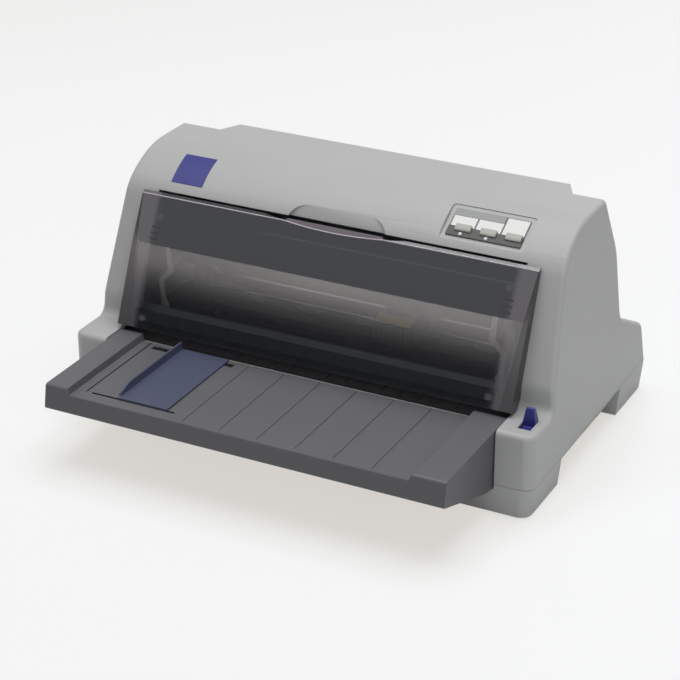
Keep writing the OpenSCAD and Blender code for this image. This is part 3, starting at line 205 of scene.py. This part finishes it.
def turnedMetal(name, colour, roughness):  # a ground shaft: fine rings round X
    made = Finish(name, colour, roughness, 1.0)
    rings = made.noise(shaftLook["rings"], shaftLook["ringDetail"], shaftLook["stretch"])
    made.feed("Roughness", roughness + (rings - 0.5) * shaftLook["roughnessSpread"])
    made.feed("Base Color", made.clouded(rings, colour, shaftLook["ringDark"], shaftLook["ringLight"]))
    made.bump(rings, shaftLook["ringStrength"], shaftLook["ringDepth"])
    return made.material


rubberLook = {"dust": 60, "dustDetail": 4, "dustLight": 1.9, "grain": 1100, "grainDetail": 3,
              "grainStrength": 0.3, "grainDepth": 0.00005}


def softRubber(name, colour, roughness):
    made = Finish(name, colour, roughness)
    dust = made.noise(rubberLook["dust"], rubberLook["dustDetail"])
    made.feed("Base Color", made.clouded(dust, colour, 1.0, rubberLook["dustLight"]))
    grain = made.noise(rubberLook["grain"], rubberLook["grainDetail"])
    made.bump(grain, rubberLook["grainStrength"], rubberLook["grainDepth"])
    return made.material


# Heights and distances from the middle are in metres, and each "Solid" is how opaque that mark is
smokedLook = {"tint": (0.026, 0.029, 0.035), "clearness": 0.64, "roughness": 0.045, "solidRoughness": 0.1,
              "upper": (0.033, 0.036, 0.044), "upperClearness": 0.13, "creaseHeight": 0.160,
              "margin": (0.135, 0.126, 0.140), "marginFrom": 0.180, "marginTo": 0.186, "marginSolid": 0.35,
              "side": (0.010, 0.010, 0.014), "sideFrom": 0.201, "sideWidth": 0.010, "sideSolid": 0.6,
              "sideTop": 0.2, "sideHeight": 0.112, "pad": (0.060, 0.060, 0.066), "padSolid": 0.5,
              "comb": (0.003, 0.003, 0.004), "haze": 9, "hazeDetail": 3, "hazeDark": 0.9, "hazeLight": 1.1,
              "hazeRoughness": 0.02, "mirror": 1.0, "wave": 6, "waveDetail": 1, "waveStrength": 0.02,
              "waveDepth": 0.0002}


def smokedPlastic():
    made = Finish("smokedPlastic", smokedLook["tint"], smokedLook["roughness"])
    haze = made.noise(smokedLook["haze"], smokedLook["hazeDetail"])
    pad = made.painted("pad")
    comb = made.painted("comb")
    x, _, z = made.axes()
    outward = made.math("ABSOLUTE", x)
    # painted shade: above the crease the cover is made nearly opaque and dark, standing in for the shaded
    # space behind it
    upper = z > smokedLook["creaseHeight"]
    colour = made.clouded(haze, smokedLook["tint"], smokedLook["hazeDark"], smokedLook["hazeLight"])
    colour = made.mix(upper, colour, smokedLook["upper"])
    # painted light: a lighter, more opaque margin near the face's side edges stands in for the lit case seen
    # through the cover
    inward = (smokedLook["marginTo"] - outward) / (smokedLook["marginTo"] - smokedLook["marginFrom"])
    margin = 1 - made.math("MINIMUM", made.math("MAXIMUM", inward, 0), 1)
    # painted shade: a dark wedge, widening towards the foot, is painted on the face for the cover's shaded
    # side walls
    down = made.math("MAXIMUM", (smokedLook["sideTop"] - z) / smokedLook["sideHeight"], 0)
    side = outward > smokedLook["sideFrom"] - down * smokedLook["sideWidth"]
    colour = made.mix(margin, colour, smokedLook["margin"])
    colour = made.mix(pad, colour, smokedLook["pad"])
    colour = made.mix(side, colour, smokedLook["side"])
    made.feed("Base Color", made.mix(comb, colour, smokedLook["comb"]))
    marks = pad * smokedLook["padSolid"] + comb + margin * smokedLook["marginSolid"]
    solid = made.math("MINIMUM", marks + side * smokedLook["sideSolid"], 1.0)
    clearness = smokedLook["clearness"] + upper * (smokedLook["upperClearness"] - smokedLook["clearness"])
    made.feed("Alpha", 1 - (1 - solid) * clearness)
    hazed = smokedLook["roughness"] + haze * smokedLook["hazeRoughness"]
    made.feed("Roughness", hazed + solid * smokedLook["solidRoughness"])
    made.fix("Specular IOR Level", smokedLook["mirror"])
    wave = made.noise(smokedLook["wave"], smokedLook["waveDetail"])
    made.bump(wave, smokedLook["waveStrength"], smokedLook["waveDepth"])
    return made.material


boardLook = {"colour": (0.02, 0.11, 0.05), "roughness": 0.35, "tracks": 60.0, "trackShift": 0.5,
             "light": (0.02, 0.12, 0.05), "dark": (0.015, 0.09, 0.04), "gap": (0.05, 0.20, 0.08),
             "gapWidth": 0.03, "grain": 500, "grainDetail": 1, "grainStrength": 0.1, "grainDepth": 0.0001}


def circuitBoard():
    made = Finish("circuitBoard", boardLook["colour"], boardLook["roughness"])
    made.feed("Base Color", made.node("ShaderNodeTexBrick", {"offset": boardLook["trackShift"]}, {
        "Vector": made.place(), "Scale": boardLook["tracks"], "Color1": boardLook["light"],
        "Color2": boardLook["dark"], "Mortar": boardLook["gap"], "Mortar Size": boardLook["gapWidth"]}))
    grain = made.noise(boardLook["grain"], boardLook["grainDetail"])
    made.bump(grain, boardLook["grainStrength"], boardLook["grainDepth"])
    return made.material


# The printed film on the control panel: white fields above a dark strip, thin dark lines and no lettering.
# The places are in mm across and up from the middle of the sloping panel.
panelFace = {"x": 140.6, "y": 17.53, "z": 218.82, "lean": 30.1}
filmLook = {"grey": (0.300, 0.305, 0.310), "white": (0.80, 0.80, 0.79), "dark": (0.045, 0.045, 0.042),
            "fields": [(-34.6, -12.0, 6.9), (-10.4, 13.0, 6.9), (14.6, 35.4, 14.0)], "strip": -4.6,
            "lineEnds": (-35.4, 36.0), "lineWidth": 0.6, "rightLineFrom": 12.6, "rightLineWidth": 0.5,
            "lineShade": 2.2, "marks": [-22.4, 2.2], "markHeight": -12.2, "markSize": 1.9, "roughness": 0.4,
            "smoothest": 0.38, "roughnessSpread": 0.08, "grain": 700, "grainStrength": 0.05,
            "grainDepth": 0.00002}


def panelFilm():
    made = Finish("panelFilm", filmLook["grey"], filmLook["roughness"])
    x, y, z = made.axes()
    lean = math.radians(panelFace["lean"])
    across = x * 1000 - panelFace["x"]
    up = (y * 1000 - panelFace["y"]) * math.cos(lean) + (z * 1000 - panelFace["z"]) * math.sin(lean)
    white = 0
    for left, right, top in filmLook["fields"]:
        white = white + (across > left) * (across < right) * (up < top)
    leftTop = filmLook["fields"][0][2] + filmLook["lineWidth"]
    rightEdge, rightTop = filmLook["fields"][2][0], filmLook["fields"][2][2] + filmLook["rightLineWidth"]
    lines = made.math("MAXIMUM", (up < leftTop) * (across < rightEdge),
                      (up < rightTop) * (across > filmLook["rightLineFrom"]))
    lines = lines * (across > filmLook["lineEnds"][0]) * (across < filmLook["lineEnds"][1])
    grain = made.noise(filmLook["grain"])
    colour = made.mix(lines, filmLook["grey"], shade(filmLook["dark"], filmLook["lineShade"]))
    colour = made.mix(white, colour, filmLook["white"])
    colour = made.mix(up < filmLook["strip"], colour, filmLook["dark"])
    marks = 0
    for middle in filmLook["marks"]:
        reach = made.math("ABSOLUTE", across - middle) + made.math("ABSOLUTE", up - filmLook["markHeight"])
        marks = marks + (reach < filmLook["markSize"])
    made.feed("Base Color", made.mix(marks, colour, filmLook["white"]))
    made.feed("Roughness", filmLook["smoothest"] + grain * filmLook["roughnessSpread"])
    made.bump(grain, filmLook["grainStrength"], filmLook["grainDepth"])
    return made.material


fabricLook = {"colour": (0.012, 0.011, 0.016), "roughness": 0.75, "threads": 9000,
              "dark": (0.008, 0.008, 0.012), "light": (0.03, 0.028, 0.035), "weaveStrength": 0.3,
              "weaveDepth": 0.00004}


def inkedFabric():
    made = Finish("inkedFabric", fabricLook["colour"], fabricLook["roughness"])
    x, y, _ = made.axes()
    weave = made.math("SINE", x * fabricLook["threads"]) * made.math("SINE", y * fabricLook["threads"])
    made.feed("Base Color", made.mix(weave * 0.5 + 0.5, fabricLook["dark"], fabricLook["light"]))
    made.bump(weave, fabricLook["weaveStrength"], fabricLook["weaveDepth"])
    return made.material


# Places in metres of the tray's floor, of the groove beside the guide, of the slot in front of it
# and of the outer faces and the rim's slope, all of which get painted shade
trayLines = {"floor": 0.075, "level": 0.0002, "depth": 0.0012, "deepShade": 0.4, "halfWidth": 0.172,
             "lip": 0.010, "groove": -0.1635, "grooveHalf": 0.0009, "front": -0.179, "back": -0.067,
             "slot": -0.1786, "slotHalf": 0.0013, "slotEnds": (-0.158, -0.0725), "frontFace": -0.1914,
             "sideFace": 0.1979, "faceShade": 0.2, "slope": (-0.1757, -0.1727), "slopeFoot": 0.0003}


def trayPaintedShade(made):
    x, y, z = made.axes()
    low, high = trayLines["floor"] - trayLines["level"], trayLines["floor"] + trayLines["level"]
    outward = made.math("ABSOLUTE", x)
    inTray = (outward < trayLines["halfWidth"]) * (y > trayLines["front"] - trayLines["lip"])
    # painted shade: the floor's recesses are darker, and dark lines are painted along the groove and the
    # slot
    deep = (z < low) * (z > trayLines["floor"] - trayLines["depth"]) * inTray
    onFloor = (z < high) * inTray
    along = (y > trayLines["front"]) * (y < trayLines["back"])
    groove = (made.math("ABSOLUTE", x - trayLines["groove"]) < trayLines["grooveHalf"]) * along
    sideways = (x > trayLines["slotEnds"][0]) * (x < trayLines["slotEnds"][1])
    slot = (made.math("ABSOLUTE", y - trayLines["slot"]) < trayLines["slotHalf"]) * sideways
    lines = made.math("MAXIMUM", groove, slot) * onFloor
    # painted shade: the front and side faces and the left rim's slope are a little darker than the floor
    slope = (x > trayLines["slope"][0]) * (x < trayLines["slope"][1])
    slope = slope * (z > trayLines["floor"] + trayLines["slopeFoot"])
    outer = (y < trayLines["frontFace"]) + (outward > trayLines["sideFace"]) + slope
    faces = made.math("MINIMUM", outer, 1) * trayLines["faceShade"]
    return made.math("MAXIMUM", made.math("MAXIMUM", deep * trayLines["deepShade"], faces), lines)


# Each finish with its colour and roughness, and with the strength of its grain where that is its own
finishes = {
    "case_plastic": mouldedPlastic("casePlastic", (0.452, 0.460, 0.452), 0.46),
    "tray_plastic": mouldedPlastic("trayPlastic", (0.118, 0.119, 0.129), 0.44, 0.35, trayPaintedShade),
    "guide_plastic": mouldedPlastic("guidePlastic", (0.067, 0.077, 0.132), 0.42),
    "smoked_plastic": smokedPlastic(),
    "dark_plastic": mouldedPlastic("darkPlastic", (0.016, 0.016, 0.018), 0.45),
    "blue_plastic": mouldedPlastic("bluePlastic", (0.024, 0.030, 0.220), 0.38, 0.12),
    "panel_film": panelFilm(),
    "circuit_board": circuitBoard(),
    "light_plastic": mouldedPlastic("lightPlastic", (0.45, 0.445, 0.41), 0.4, 0.12),
    "zinc_sheet": sheetMetal("zincSheet", (0.48, 0.48, 0.50), 0.34),
    "black_plastic": mouldedPlastic("blackPlastic", (0.012, 0.012, 0.013), 0.42),
    "steel": turnedMetal("groundSteel", (0.56, 0.57, 0.58), 0.22),
    "rubber": softRubber("blackRubber", (0.012, 0.012, 0.012), 0.7),
    "white_plastic": mouldedPlastic("whitePlastic", (0.52, 0.51, 0.46), 0.4, 0.12),
    "brass": turnedMetal("brass", (0.72, 0.48, 0.16), 0.28),
    "cast_aluminium": sheetMetal("castAluminium", (0.20, 0.20, 0.21), 0.5, 300),
    "ribbon_fabric": inkedFabric()}
# painted shade: a near-black copy of the sheet finish, for the rear rail inside the shaded case
shadedSheet = sheetMetal("shadedSheet", (0.030, 0.030, 0.032), 0.5)
ribbedPlastic = mouldedPlastic("ribbedPlastic", (0.065, 0.069, 0.078), 0.4)
# painted light: a bright diffuse brass colour stands in for the connector's lit sheen inside the dim case
paintedLitBrass = mouldedPlastic("paintedLitBrass", (0.92, 0.70, 0.32), 0.3, 0.05)
armPlastic = mouldedPlastic("armPlastic", (0.74, 0.73, 0.69), 0.4, 0.12)
# painted highlight: a light pinkish colour for the bead along the cover's top edge
coverEdge = mouldedPlastic("coverEdge", (0.60, 0.55, 0.60), 0.2, 0.05)
# painted shade: a dim purple-grey for the ledge behind the finger dip, standing in for the cover's top wall
# over the shaded case lip
shadedLedgePlastic = mouldedPlastic("shadedLedgePlastic", (0.150, 0.132, 0.150), 0.25, 0.05)
print("finishes made")


slots = {part["node"]: part["material_slot"] for part in frame["record"]["subparts"]}
bodyOf = {node: body for body, nodes in frame["record"]["behaviour"]["bodies"].items() for node in nodes}


def meshObject(name, mesh):
    made = bpy.data.objects.new(name, mesh)
    bpy.context.scene.collection.objects.link(made)
    return made


def settled(piece):  # the piece with its modifiers worked into a plain mesh
    graph = bpy.context.evaluated_depsgraph_get()
    graph.update()
    mesh = bpy.data.meshes.new_from_object(piece.evaluated_get(graph))
    piece.modifiers.clear()
    piece.data = mesh
    return piece


meshCare = {"mergeWithin": 2e-6, "flatWithin": 0.4, "sharpFrom": 38, "edgeSteps": 2}  # metres and degrees


def smoothed(mesh, angle):
    mesh.polygons.foreach_set("use_smooth", [True] * len(mesh.polygons))
    mesh.set_sharp_from_angle(angle=math.radians(angle))


def cleaned(node):  # the node's own shape as whole faces instead of loose triangles
    mesh = frame["nodes"][node].data.copy()
    work = bmesh.new()
    work.from_mesh(mesh)
    bmesh.ops.remove_doubles(work, verts=work.verts, dist=meshCare["mergeWithin"])
    bmesh.ops.dissolve_limit(work, angle_limit=math.radians(meshCare["flatWithin"]), verts=work.verts,
                             edges=work.edges, delimit={"MATERIAL"})
    work.to_mesh(mesh)
    work.free()
    mesh.materials.clear()
    mesh.materials.append(finishes[slots[node]])
    return mesh


def refined(node, edge, prepare=None):  # with soft moulded edges
    mesh = cleaned(node)
    if prepare:
        prepare(mesh)
    piece = meshObject(node + "Piece", mesh)
    smoothed(mesh, meshCare["sharpFrom"])
    bevel = piece.modifiers.new("edge", "BEVEL")
    bevel.width = edge
    bevel.segments = meshCare["edgeSteps"]
    bevel.limit_method = "ANGLE"
    bevel.angle_limit = math.radians(meshCare["sharpFrom"])
    bevel.use_clamp_overlap = True
    weigh = piece.modifiers.new("weigh", "WEIGHTED_NORMAL")
    weigh.keep_sharp = True
    settled(piece)
    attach(piece, bodyOf[node])
    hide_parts(node)
    return piece


# The cover's side view and the marks on its face in mm, y counted from the pedestal fronts
coverShape = {"foot": (26.6, 86.4), "crease": (59.0, 160.0), "top": (80.86, 200.77), "margin": 3,
              "padX": 178, "padHeights": (96, 184), "padReach": 3.6, "combHeights": (175, 170, 165, 160),
              "combInward": 3.2, "combOutward": 7, "combDepths": (-5, 2.6), "combHalf": 0.7, "proud": 0.1,
              "dipDepth": 2.9, "dipRadius": 432.5}


def besideFace(point):  # how far a point lies in front of the cover's face, and the face's outward direction
    y, z = point.y * 1000 + frameShift, point.z * 1000
    low, high = ("foot", "crease") if z < coverShape["crease"][1] else ("crease", "top")
    run = Vector(coverShape[high]) - Vector(coverShape[low])
    out = Vector((-run.y, run.x)).normalized()
    return (Vector((y, z)) - Vector(coverShape[low])).dot(out), out


def markCover(mesh):  # pads and combs are let into the face, and each is painted for its own finish
    work = bmesh.new()
    work.from_mesh(mesh)
    pad = work.loops.layers.float.new("pad")
    comb = work.loops.layers.float.new("comb")
    padCentres = [Vector((coverShape["padX"], high)) for high in coverShape["padHeights"]]
    combFrom, combTo = (coverShape["padX"] - coverShape["combInward"],
                        coverShape["padX"] + coverShape["combOutward"])
    behind, before = coverShape["combDepths"]
    for face in work.faces:
        at = face.calc_center_median()
        x, z = abs(at.x) * 1000, at.z * 1000
        ahead, out = besideFace(at)
        onFace = Vector((x, z - ahead * out.y))
        isPad = min((onFace - centre).length for centre in padCentres) < coverShape["padReach"]
        isComb = (combFrom < x < combTo and behind < ahead < before
                  and min(abs(z - high) for high in coverShape["combHeights"]) < coverShape["combHalf"])
        for loop in face.loops:
            loop[pad] = float(isPad and not isComb)
            loop[comb] = float(isComb)
    lowest = coverShape["foot"][1] + coverShape["margin"]
    highest = coverShape["top"][1] - coverShape["margin"]
    for vert in work.verts:
        ahead, out = besideFace(vert.co)
        if ahead > coverShape["proud"] and lowest < vert.co.z * 1000 < highest:
            vert.co.y -= ahead * out.x / 1000
            vert.co.z -= ahead * out.y / 1000
    work.to_mesh(mesh)
    work.free()


# What shows along the cover's top edge, in mm: a bead painted light as the edge's highlight, and a ledge
# behind the finger dip painted as the cover's top wall over the shaded case lip
topEdge = {"halfLength": 201.4, "bead": 0.6, "beadBack": 0.25, "beadSides": 8, "ledgeHalfLength": 49,
           "ledgeFoot": (80.4, 196.9), "ledgeTop": (84.3, 202.2), "ledgeBack": (0.5, -0.25), "steps": 96,
           "sharpFrom": 50}


def dippedEdge(x):
    fall = (Vector(coverShape["crease"]) - Vector(coverShape["top"])).normalized()
    hollow = max(0, coverShape["dipDepth"] - x * x / 2 / coverShape["dipRadius"])
    return Vector(coverShape["top"]) + fall * hollow


def beadSection(x):
    centre = dippedEdge(x) + Vector((topEdge["beadBack"], 0.0))
    turns = [2 * math.pi * step / topEdge["beadSides"] for step in range(topEdge["beadSides"])]
    return [centre + topEdge["bead"] * Vector((math.cos(turn), math.sin(turn))) for turn in turns]


def ledgeSection(x):  # the same at every x
    foot, top, back = (Vector(topEdge[part]) for part in ("ledgeFoot", "ledgeTop", "ledgeBack"))
    return [foot, foot + back, top + back, top]


def alongCover(name, section, halfLength, finish):  # a rod of the given cross-section from side to side
    work = bmesh.new()
    rings = []
    for step in range(topEdge["steps"] + 1):
        x = halfLength * (2 * step / topEdge["steps"] - 1)
        rings.append([work.verts.new(mm(x, point.x, point.y)) for point in section(x)])
    for ring, following in zip(rings, rings[1:]):
        for a, b, c, d in zip(ring, ring[1:] + ring[:1], following[1:] + following[:1], following):
            work.faces.new((a, b, c, d))
    work.faces.new(rings[0])
    work.faces.new(rings[-1])
    bmesh.ops.recalc_face_normals(work, faces=work.faces)
    mesh = bpy.data.meshes.new(name)
    work.to_mesh(mesh)
    work.free()
    mesh.materials.append(finish)
    smoothed(mesh, topEdge["sharpFrom"])
    rod = meshObject(name, mesh)
    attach(rod, bodyOf["front_cover"])


# How wide each piece's soft edges are, in metres
edgeSizes = {
    "upper_case": 0.0006, "lower_case": 0.0008, "front_tray": 0.0010, "edge_guide": 0.0004,
    "front_paper_guide": 0.0004, "bent_arms": 0.0003, "control_panel": 0.0002, "badge_plate": 0.0002,
    "button_feed": 0.0005, "button_load": 0.0005, "button_pause": 0.0005, "release_lever": 0.0008,
    "power_switch": 0.0004, "switch_frame": 0.0004, "ribbon_cartridge": 0.0008, "ribbon_knob": 0.0004,
    "hinge_bracket_left": 0.0004, "hinge_bracket_right": 0.0004, "print_head": 0.0003, "carriage": 0.0006,
    "head_connector": 0.0002, "paper_bed": 0.0003, "rear_paper_guide": 0.0004, "side_frame_left": 0.0002,
    "side_frame_right": 0.0002, "rear_rail": 0.0002, "power_inlet": 0.0004, "parallel_socket": 0.0003,
    "usb_socket": 0.0002, "carriage_motor": 0.0005, "feed_motor": 0.0005, "rubber_feet": 0.0004,
    "guide_shaft": 0.0004, "platen_rubber": 0.0005, "front_pinch_rollers": 0.0003,
    "rear_pinch_rollers": 0.0003}
coverEdgeSize = 0.0005
# Pieces whose finish differs from their slot's
ownFinishes = {"rear_rail": shadedSheet, "front_paper_guide": ribbedPlastic, "bent_arms": armPlastic,
               "head_connector": paintedLitBrass}
pieces = {node: refined(node, edge) for node, edge in edgeSizes.items()}
pieces["front_cover"] = refined("front_cover", coverEdgeSize, markCover)
for node, finish in ownFinishes.items():
    pieces[node].data.materials[0] = finish
alongCover("coverHighlightBead", beadSection, topEdge["halfLength"], coverEdge)
alongCover("coverLedge", ledgeSection, topEdge["ledgeHalfLength"], shadedLedgePlastic)
for node, found in frame["nodes"].items():
    if node not in pieces:
        found.data.materials.clear()
        found.data.materials.append(finishes[slots[node]])
print("node pieces made", len(pieces))


def blockTree(finish):  # a block on every point of the piece that carries the modifier
    tree = bpy.data.node_groups.new("blocks", "GeometryNodeTree")
    tree.interface.new_socket("Points", in_out="INPUT", socket_type="NodeSocketGeometry")
    size = tree.interface.new_socket("Block Size", in_out="INPUT", socket_type="NodeSocketVector")
    tree.interface.new_socket("Blocks", in_out="OUTPUT", socket_type="NodeSocketGeometry")
    given = tree.nodes.new("NodeGroupInput")
    block = tree.nodes.new("GeometryNodeMeshCube")
    placed = tree.nodes.new("GeometryNodeInstanceOnPoints")
    real = tree.nodes.new("GeometryNodeRealizeInstances")
    painted = tree.nodes.new("GeometryNodeSetMaterial")
    painted.inputs["Material"].default_value = finish
    done = tree.nodes.new("NodeGroupOutput")
    tree.links.new(given.outputs["Points"], placed.inputs["Points"])
    tree.links.new(given.outputs["Block Size"], block.inputs["Size"])
    tree.links.new(block.outputs["Mesh"], placed.inputs["Instance"])
    tree.links.new(placed.outputs["Instances"], real.inputs["Geometry"])
    tree.links.new(real.outputs["Geometry"], painted.inputs["Geometry"])
    tree.links.new(painted.outputs["Geometry"], done.inputs["Blocks"])
    return tree, size.identifier


def repeated(name, node, finish, size, points):  # small blocks that move with the node's body
    mesh = bpy.data.meshes.new(name)
    mesh.from_pydata(points, [], [])
    piece = meshObject(name, mesh)
    blocks = piece.modifiers.new("blocks", "NODES")
    tree, sizeInput = blockTree(finish)
    blocks.node_group = tree
    blocks[sizeInput] = [length / 1000 for length in size]
    settled(piece)
    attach(piece, bodyOf[node])


# The contacts in the parallel socket and the crossed slots in the frame screws, in mm
socketContacts = {"middle": 20, "pitch": 2.7, "perSide": 18, "height": 51, "offset": 1.5, "y": 266,
                  "size": (1.2, 7.0, 0.4)}
contactRow = [socketContacts["pitch"] * (step - (socketContacts["perSide"] - 1) / 2)
              for step in range(socketContacts["perSide"])]
repeated("socketContacts", "parallel_socket", finishes["brass"], socketContacts["size"],
         [mm(socketContacts["middle"] + across, socketContacts["y"], socketContacts["height"] + side)
          for side in (-socketContacts["offset"], socketContacts["offset"]) for across in contactRow])

frameScrews = {"x": 212, "y": (55, 105, 155, 185), "z": 16.1, "bar": 3.4, "width": 0.8, "depth": 0.3}
screwPoints = [mm(side * frameScrews["x"], along, frameScrews["z"])
               for side in (-1, 1) for along in frameScrews["y"]]
# painted shade: the screws' crossed slots are black blocks, standing in for the shade inside the slots
for name, size in (("screwSlotsAcross", (frameScrews["bar"], frameScrews["width"], frameScrews["depth"])),
                   ("screwSlotsAlong", (frameScrews["width"], frameScrews["bar"], frameScrews["depth"]))):
    repeated(name, "frame_screws", finishes["black_plastic"], size, screwPoints)
print("repeats made")


# The lamps, all white and all turned to one point, in metres and watts
lampAim = (0, 0, 0.1)
lamps = {
    "key": {"at": (-1.1, -0.9, 2.3), "size": (1.6, 1.6), "power": 7.5},
    "top": {"at": (0.1, 0.3, 2.6), "size": (2.4, 2.4), "power": 57},
    "right": {"at": (2.4, 0.0, 1.2), "size": (1.6, 1.4), "power": 5.2},
    "left": {"at": (-2.4, 0.4, 0.9), "size": (1.6, 1.2), "power": 4.5},
    "back": {"at": (0.3, 2.6, 0.9), "size": (2.0, 1.2), "power": 9},
    "front": {"at": (1.2, -2.3, 1.3), "size": (1.8, 1.2), "power": 12.5}}

for name, lamp in lamps.items():
    light = bpy.data.objects.new(name, bpy.data.lights.new(name, "AREA"))
    bpy.context.scene.collection.objects.link(light)
    light.data.shape = "RECTANGLE"
    light.data.size, light.data.size_y = lamp["size"]
    light.data.energy = lamp["power"]
    light.location = lamp["at"]
    light.rotation_euler = (Vector(lampAim) - Vector(lamp["at"])).to_track_quat("-Z", "Y").to_euler()


def stageMesh(name, corners, finish):
    mesh = bpy.data.meshes.new(name)
    mesh.from_pydata(corners, [], [(0, 1, 2, 3)])
    mesh.uv_layers.new(name="card")
    for corner, at in zip(mesh.uv_layers["card"].data, ((0, 0), (1, 0), (1, 1), (0, 1))):
        corner.uv = at
    mesh.materials.append(finish)
    made = meshObject(name, mesh)
    return made


# The camera sees the floor partly as a glowing white sweep, so that its shadows stay but its colour is white
sweep = {"half": 12, "colour": (0.86, 0.865, 0.875), "roughness": 0.6, "patch": 1.5, "patchDark": 0.99,
         "patchLight": 1.01, "seenColour": (0.79, 0.91, 1.0), "glow": 0.6, "glowColour": (1.06, 1.01, 0.95)}
floorFinish = Finish("floor", sweep["colour"], sweep["roughness"])
byCamera = floorFinish.node("ShaderNodeLightPath", output="Is Camera Ray")
patches = floorFinish.noise(sweep["patch"])
lit = floorFinish.clouded(patches, sweep["colour"], sweep["patchDark"], sweep["patchLight"])
floorFinish.feed("Base Color", floorFinish.mix(byCamera, lit, sweep["seenColour"]))
glow = floorFinish.node("ShaderNodeEmission", {}, {"Color": sweep["glowColour"], "Strength": 1.0})
both = floorFinish.node("ShaderNodeMixShader", {}, {0: byCamera * sweep["glow"]})
floorFinish.tree.links.new(floorFinish.shader.outputs[0], both.socket.node.inputs[1])
floorFinish.tree.links.new(glow.socket, both.socket.node.inputs[2])
floorFinish.tree.links.new(both.socket, floorFinish.tree.nodes["Material Output"].inputs["Surface"])
corners = [(across * sweep["half"], along * sweep["half"], 0)
           for across, along in ((-1, -1), (1, -1), (1, 1), (-1, 1))]
stageMesh("floor", corners, floorFinish.material)

# A softbox that only shows as a reflection in the lower half of the cover, brighter upwards and to the
# right. Its corners are in mm.
card = {"corners": [(-2237, -3267, 1121), (-1160, -3568, 1216), (-1166, -3431, 1572), (-2246, -3135, 1453)],
        "stops": [(0.30, 0.0), (0.40, 0.03), (0.47, 0.17), (0.53, 0.33), (0.59, 0.64), (0.66, 1.0)],
        "colour": (1.0, 0.94, 0.93), "strength": 4.9, "leftShare": 0.6, "fullFrom": 0.5}
cardFinish = Finish("card", card["colour"], 0.5)
cardPlace = cardFinish.node("ShaderNodeUVMap", {"uv_map": "card"})
across = cardFinish.node("ShaderNodeSeparateXYZ", {}, {0: cardPlace}, "X")
up = cardFinish.node("ShaderNodeSeparateXYZ", {}, {0: cardPlace}, "Y")
share = cardFinish.math("MINIMUM", across / card["fullFrom"], 1)
share = share * (1 - card["leftShare"]) + card["leftShare"]
stops = [(at, shade(card["colour"], level)) for at, level in card["stops"]]
fade = cardFinish.node("ShaderNodeValToRGB", {"stops": stops}, {"Fac": up})
cardGlow = cardFinish.node("ShaderNodeEmission", {}, {"Color": fade, "Strength": share * card["strength"]})
cardFinish.tree.links.new(cardGlow.socket, cardFinish.tree.nodes["Material Output"].inputs["Surface"])
softbox = stageMesh("softbox", [mm(*corner) for corner in card["corners"]], cardFinish.material)
softbox.visible_camera = False
softbox.visible_diffuse = False
softbox.visible_transmission = False
softbox.visible_shadow = False

# The sky is nearly black as a light, and brighter where it is seen or reflected
sky = {"level": 0.02, "colour": (0.99, 0.99, 1.0),
       "rays": {"Is Glossy Ray": 0.6, "Is Transmission Ray": 1.0, "Is Camera Ray": 1.0}}
world = bpy.data.worlds.new("studio")
bpy.context.scene.world = world
world.use_nodes = True
tree = world.node_tree
paths = tree.nodes.new("ShaderNodeLightPath")
skyLevel = tree.nodes["Background"].inputs["Strength"]
skyLevel.default_value = sky["level"]
last = None
for ray, strength in sky["rays"].items():
    step = tree.nodes.new("ShaderNodeMix")
    step.inputs["A"].default_value = sky["level"]
    step.inputs["B"].default_value = strength
    tree.links.new(paths.outputs[ray], step.inputs["Factor"])
    if last:
        tree.links.new(last.outputs["Result"], step.inputs["A"])
    last = step
tree.links.new(last.outputs["Result"], skyLevel)
tree.nodes["Background"].inputs["Color"].default_value = (*sky["colour"], 1)

bpy.context.scene.view_settings.view_transform = "Standard"
print("studio made")
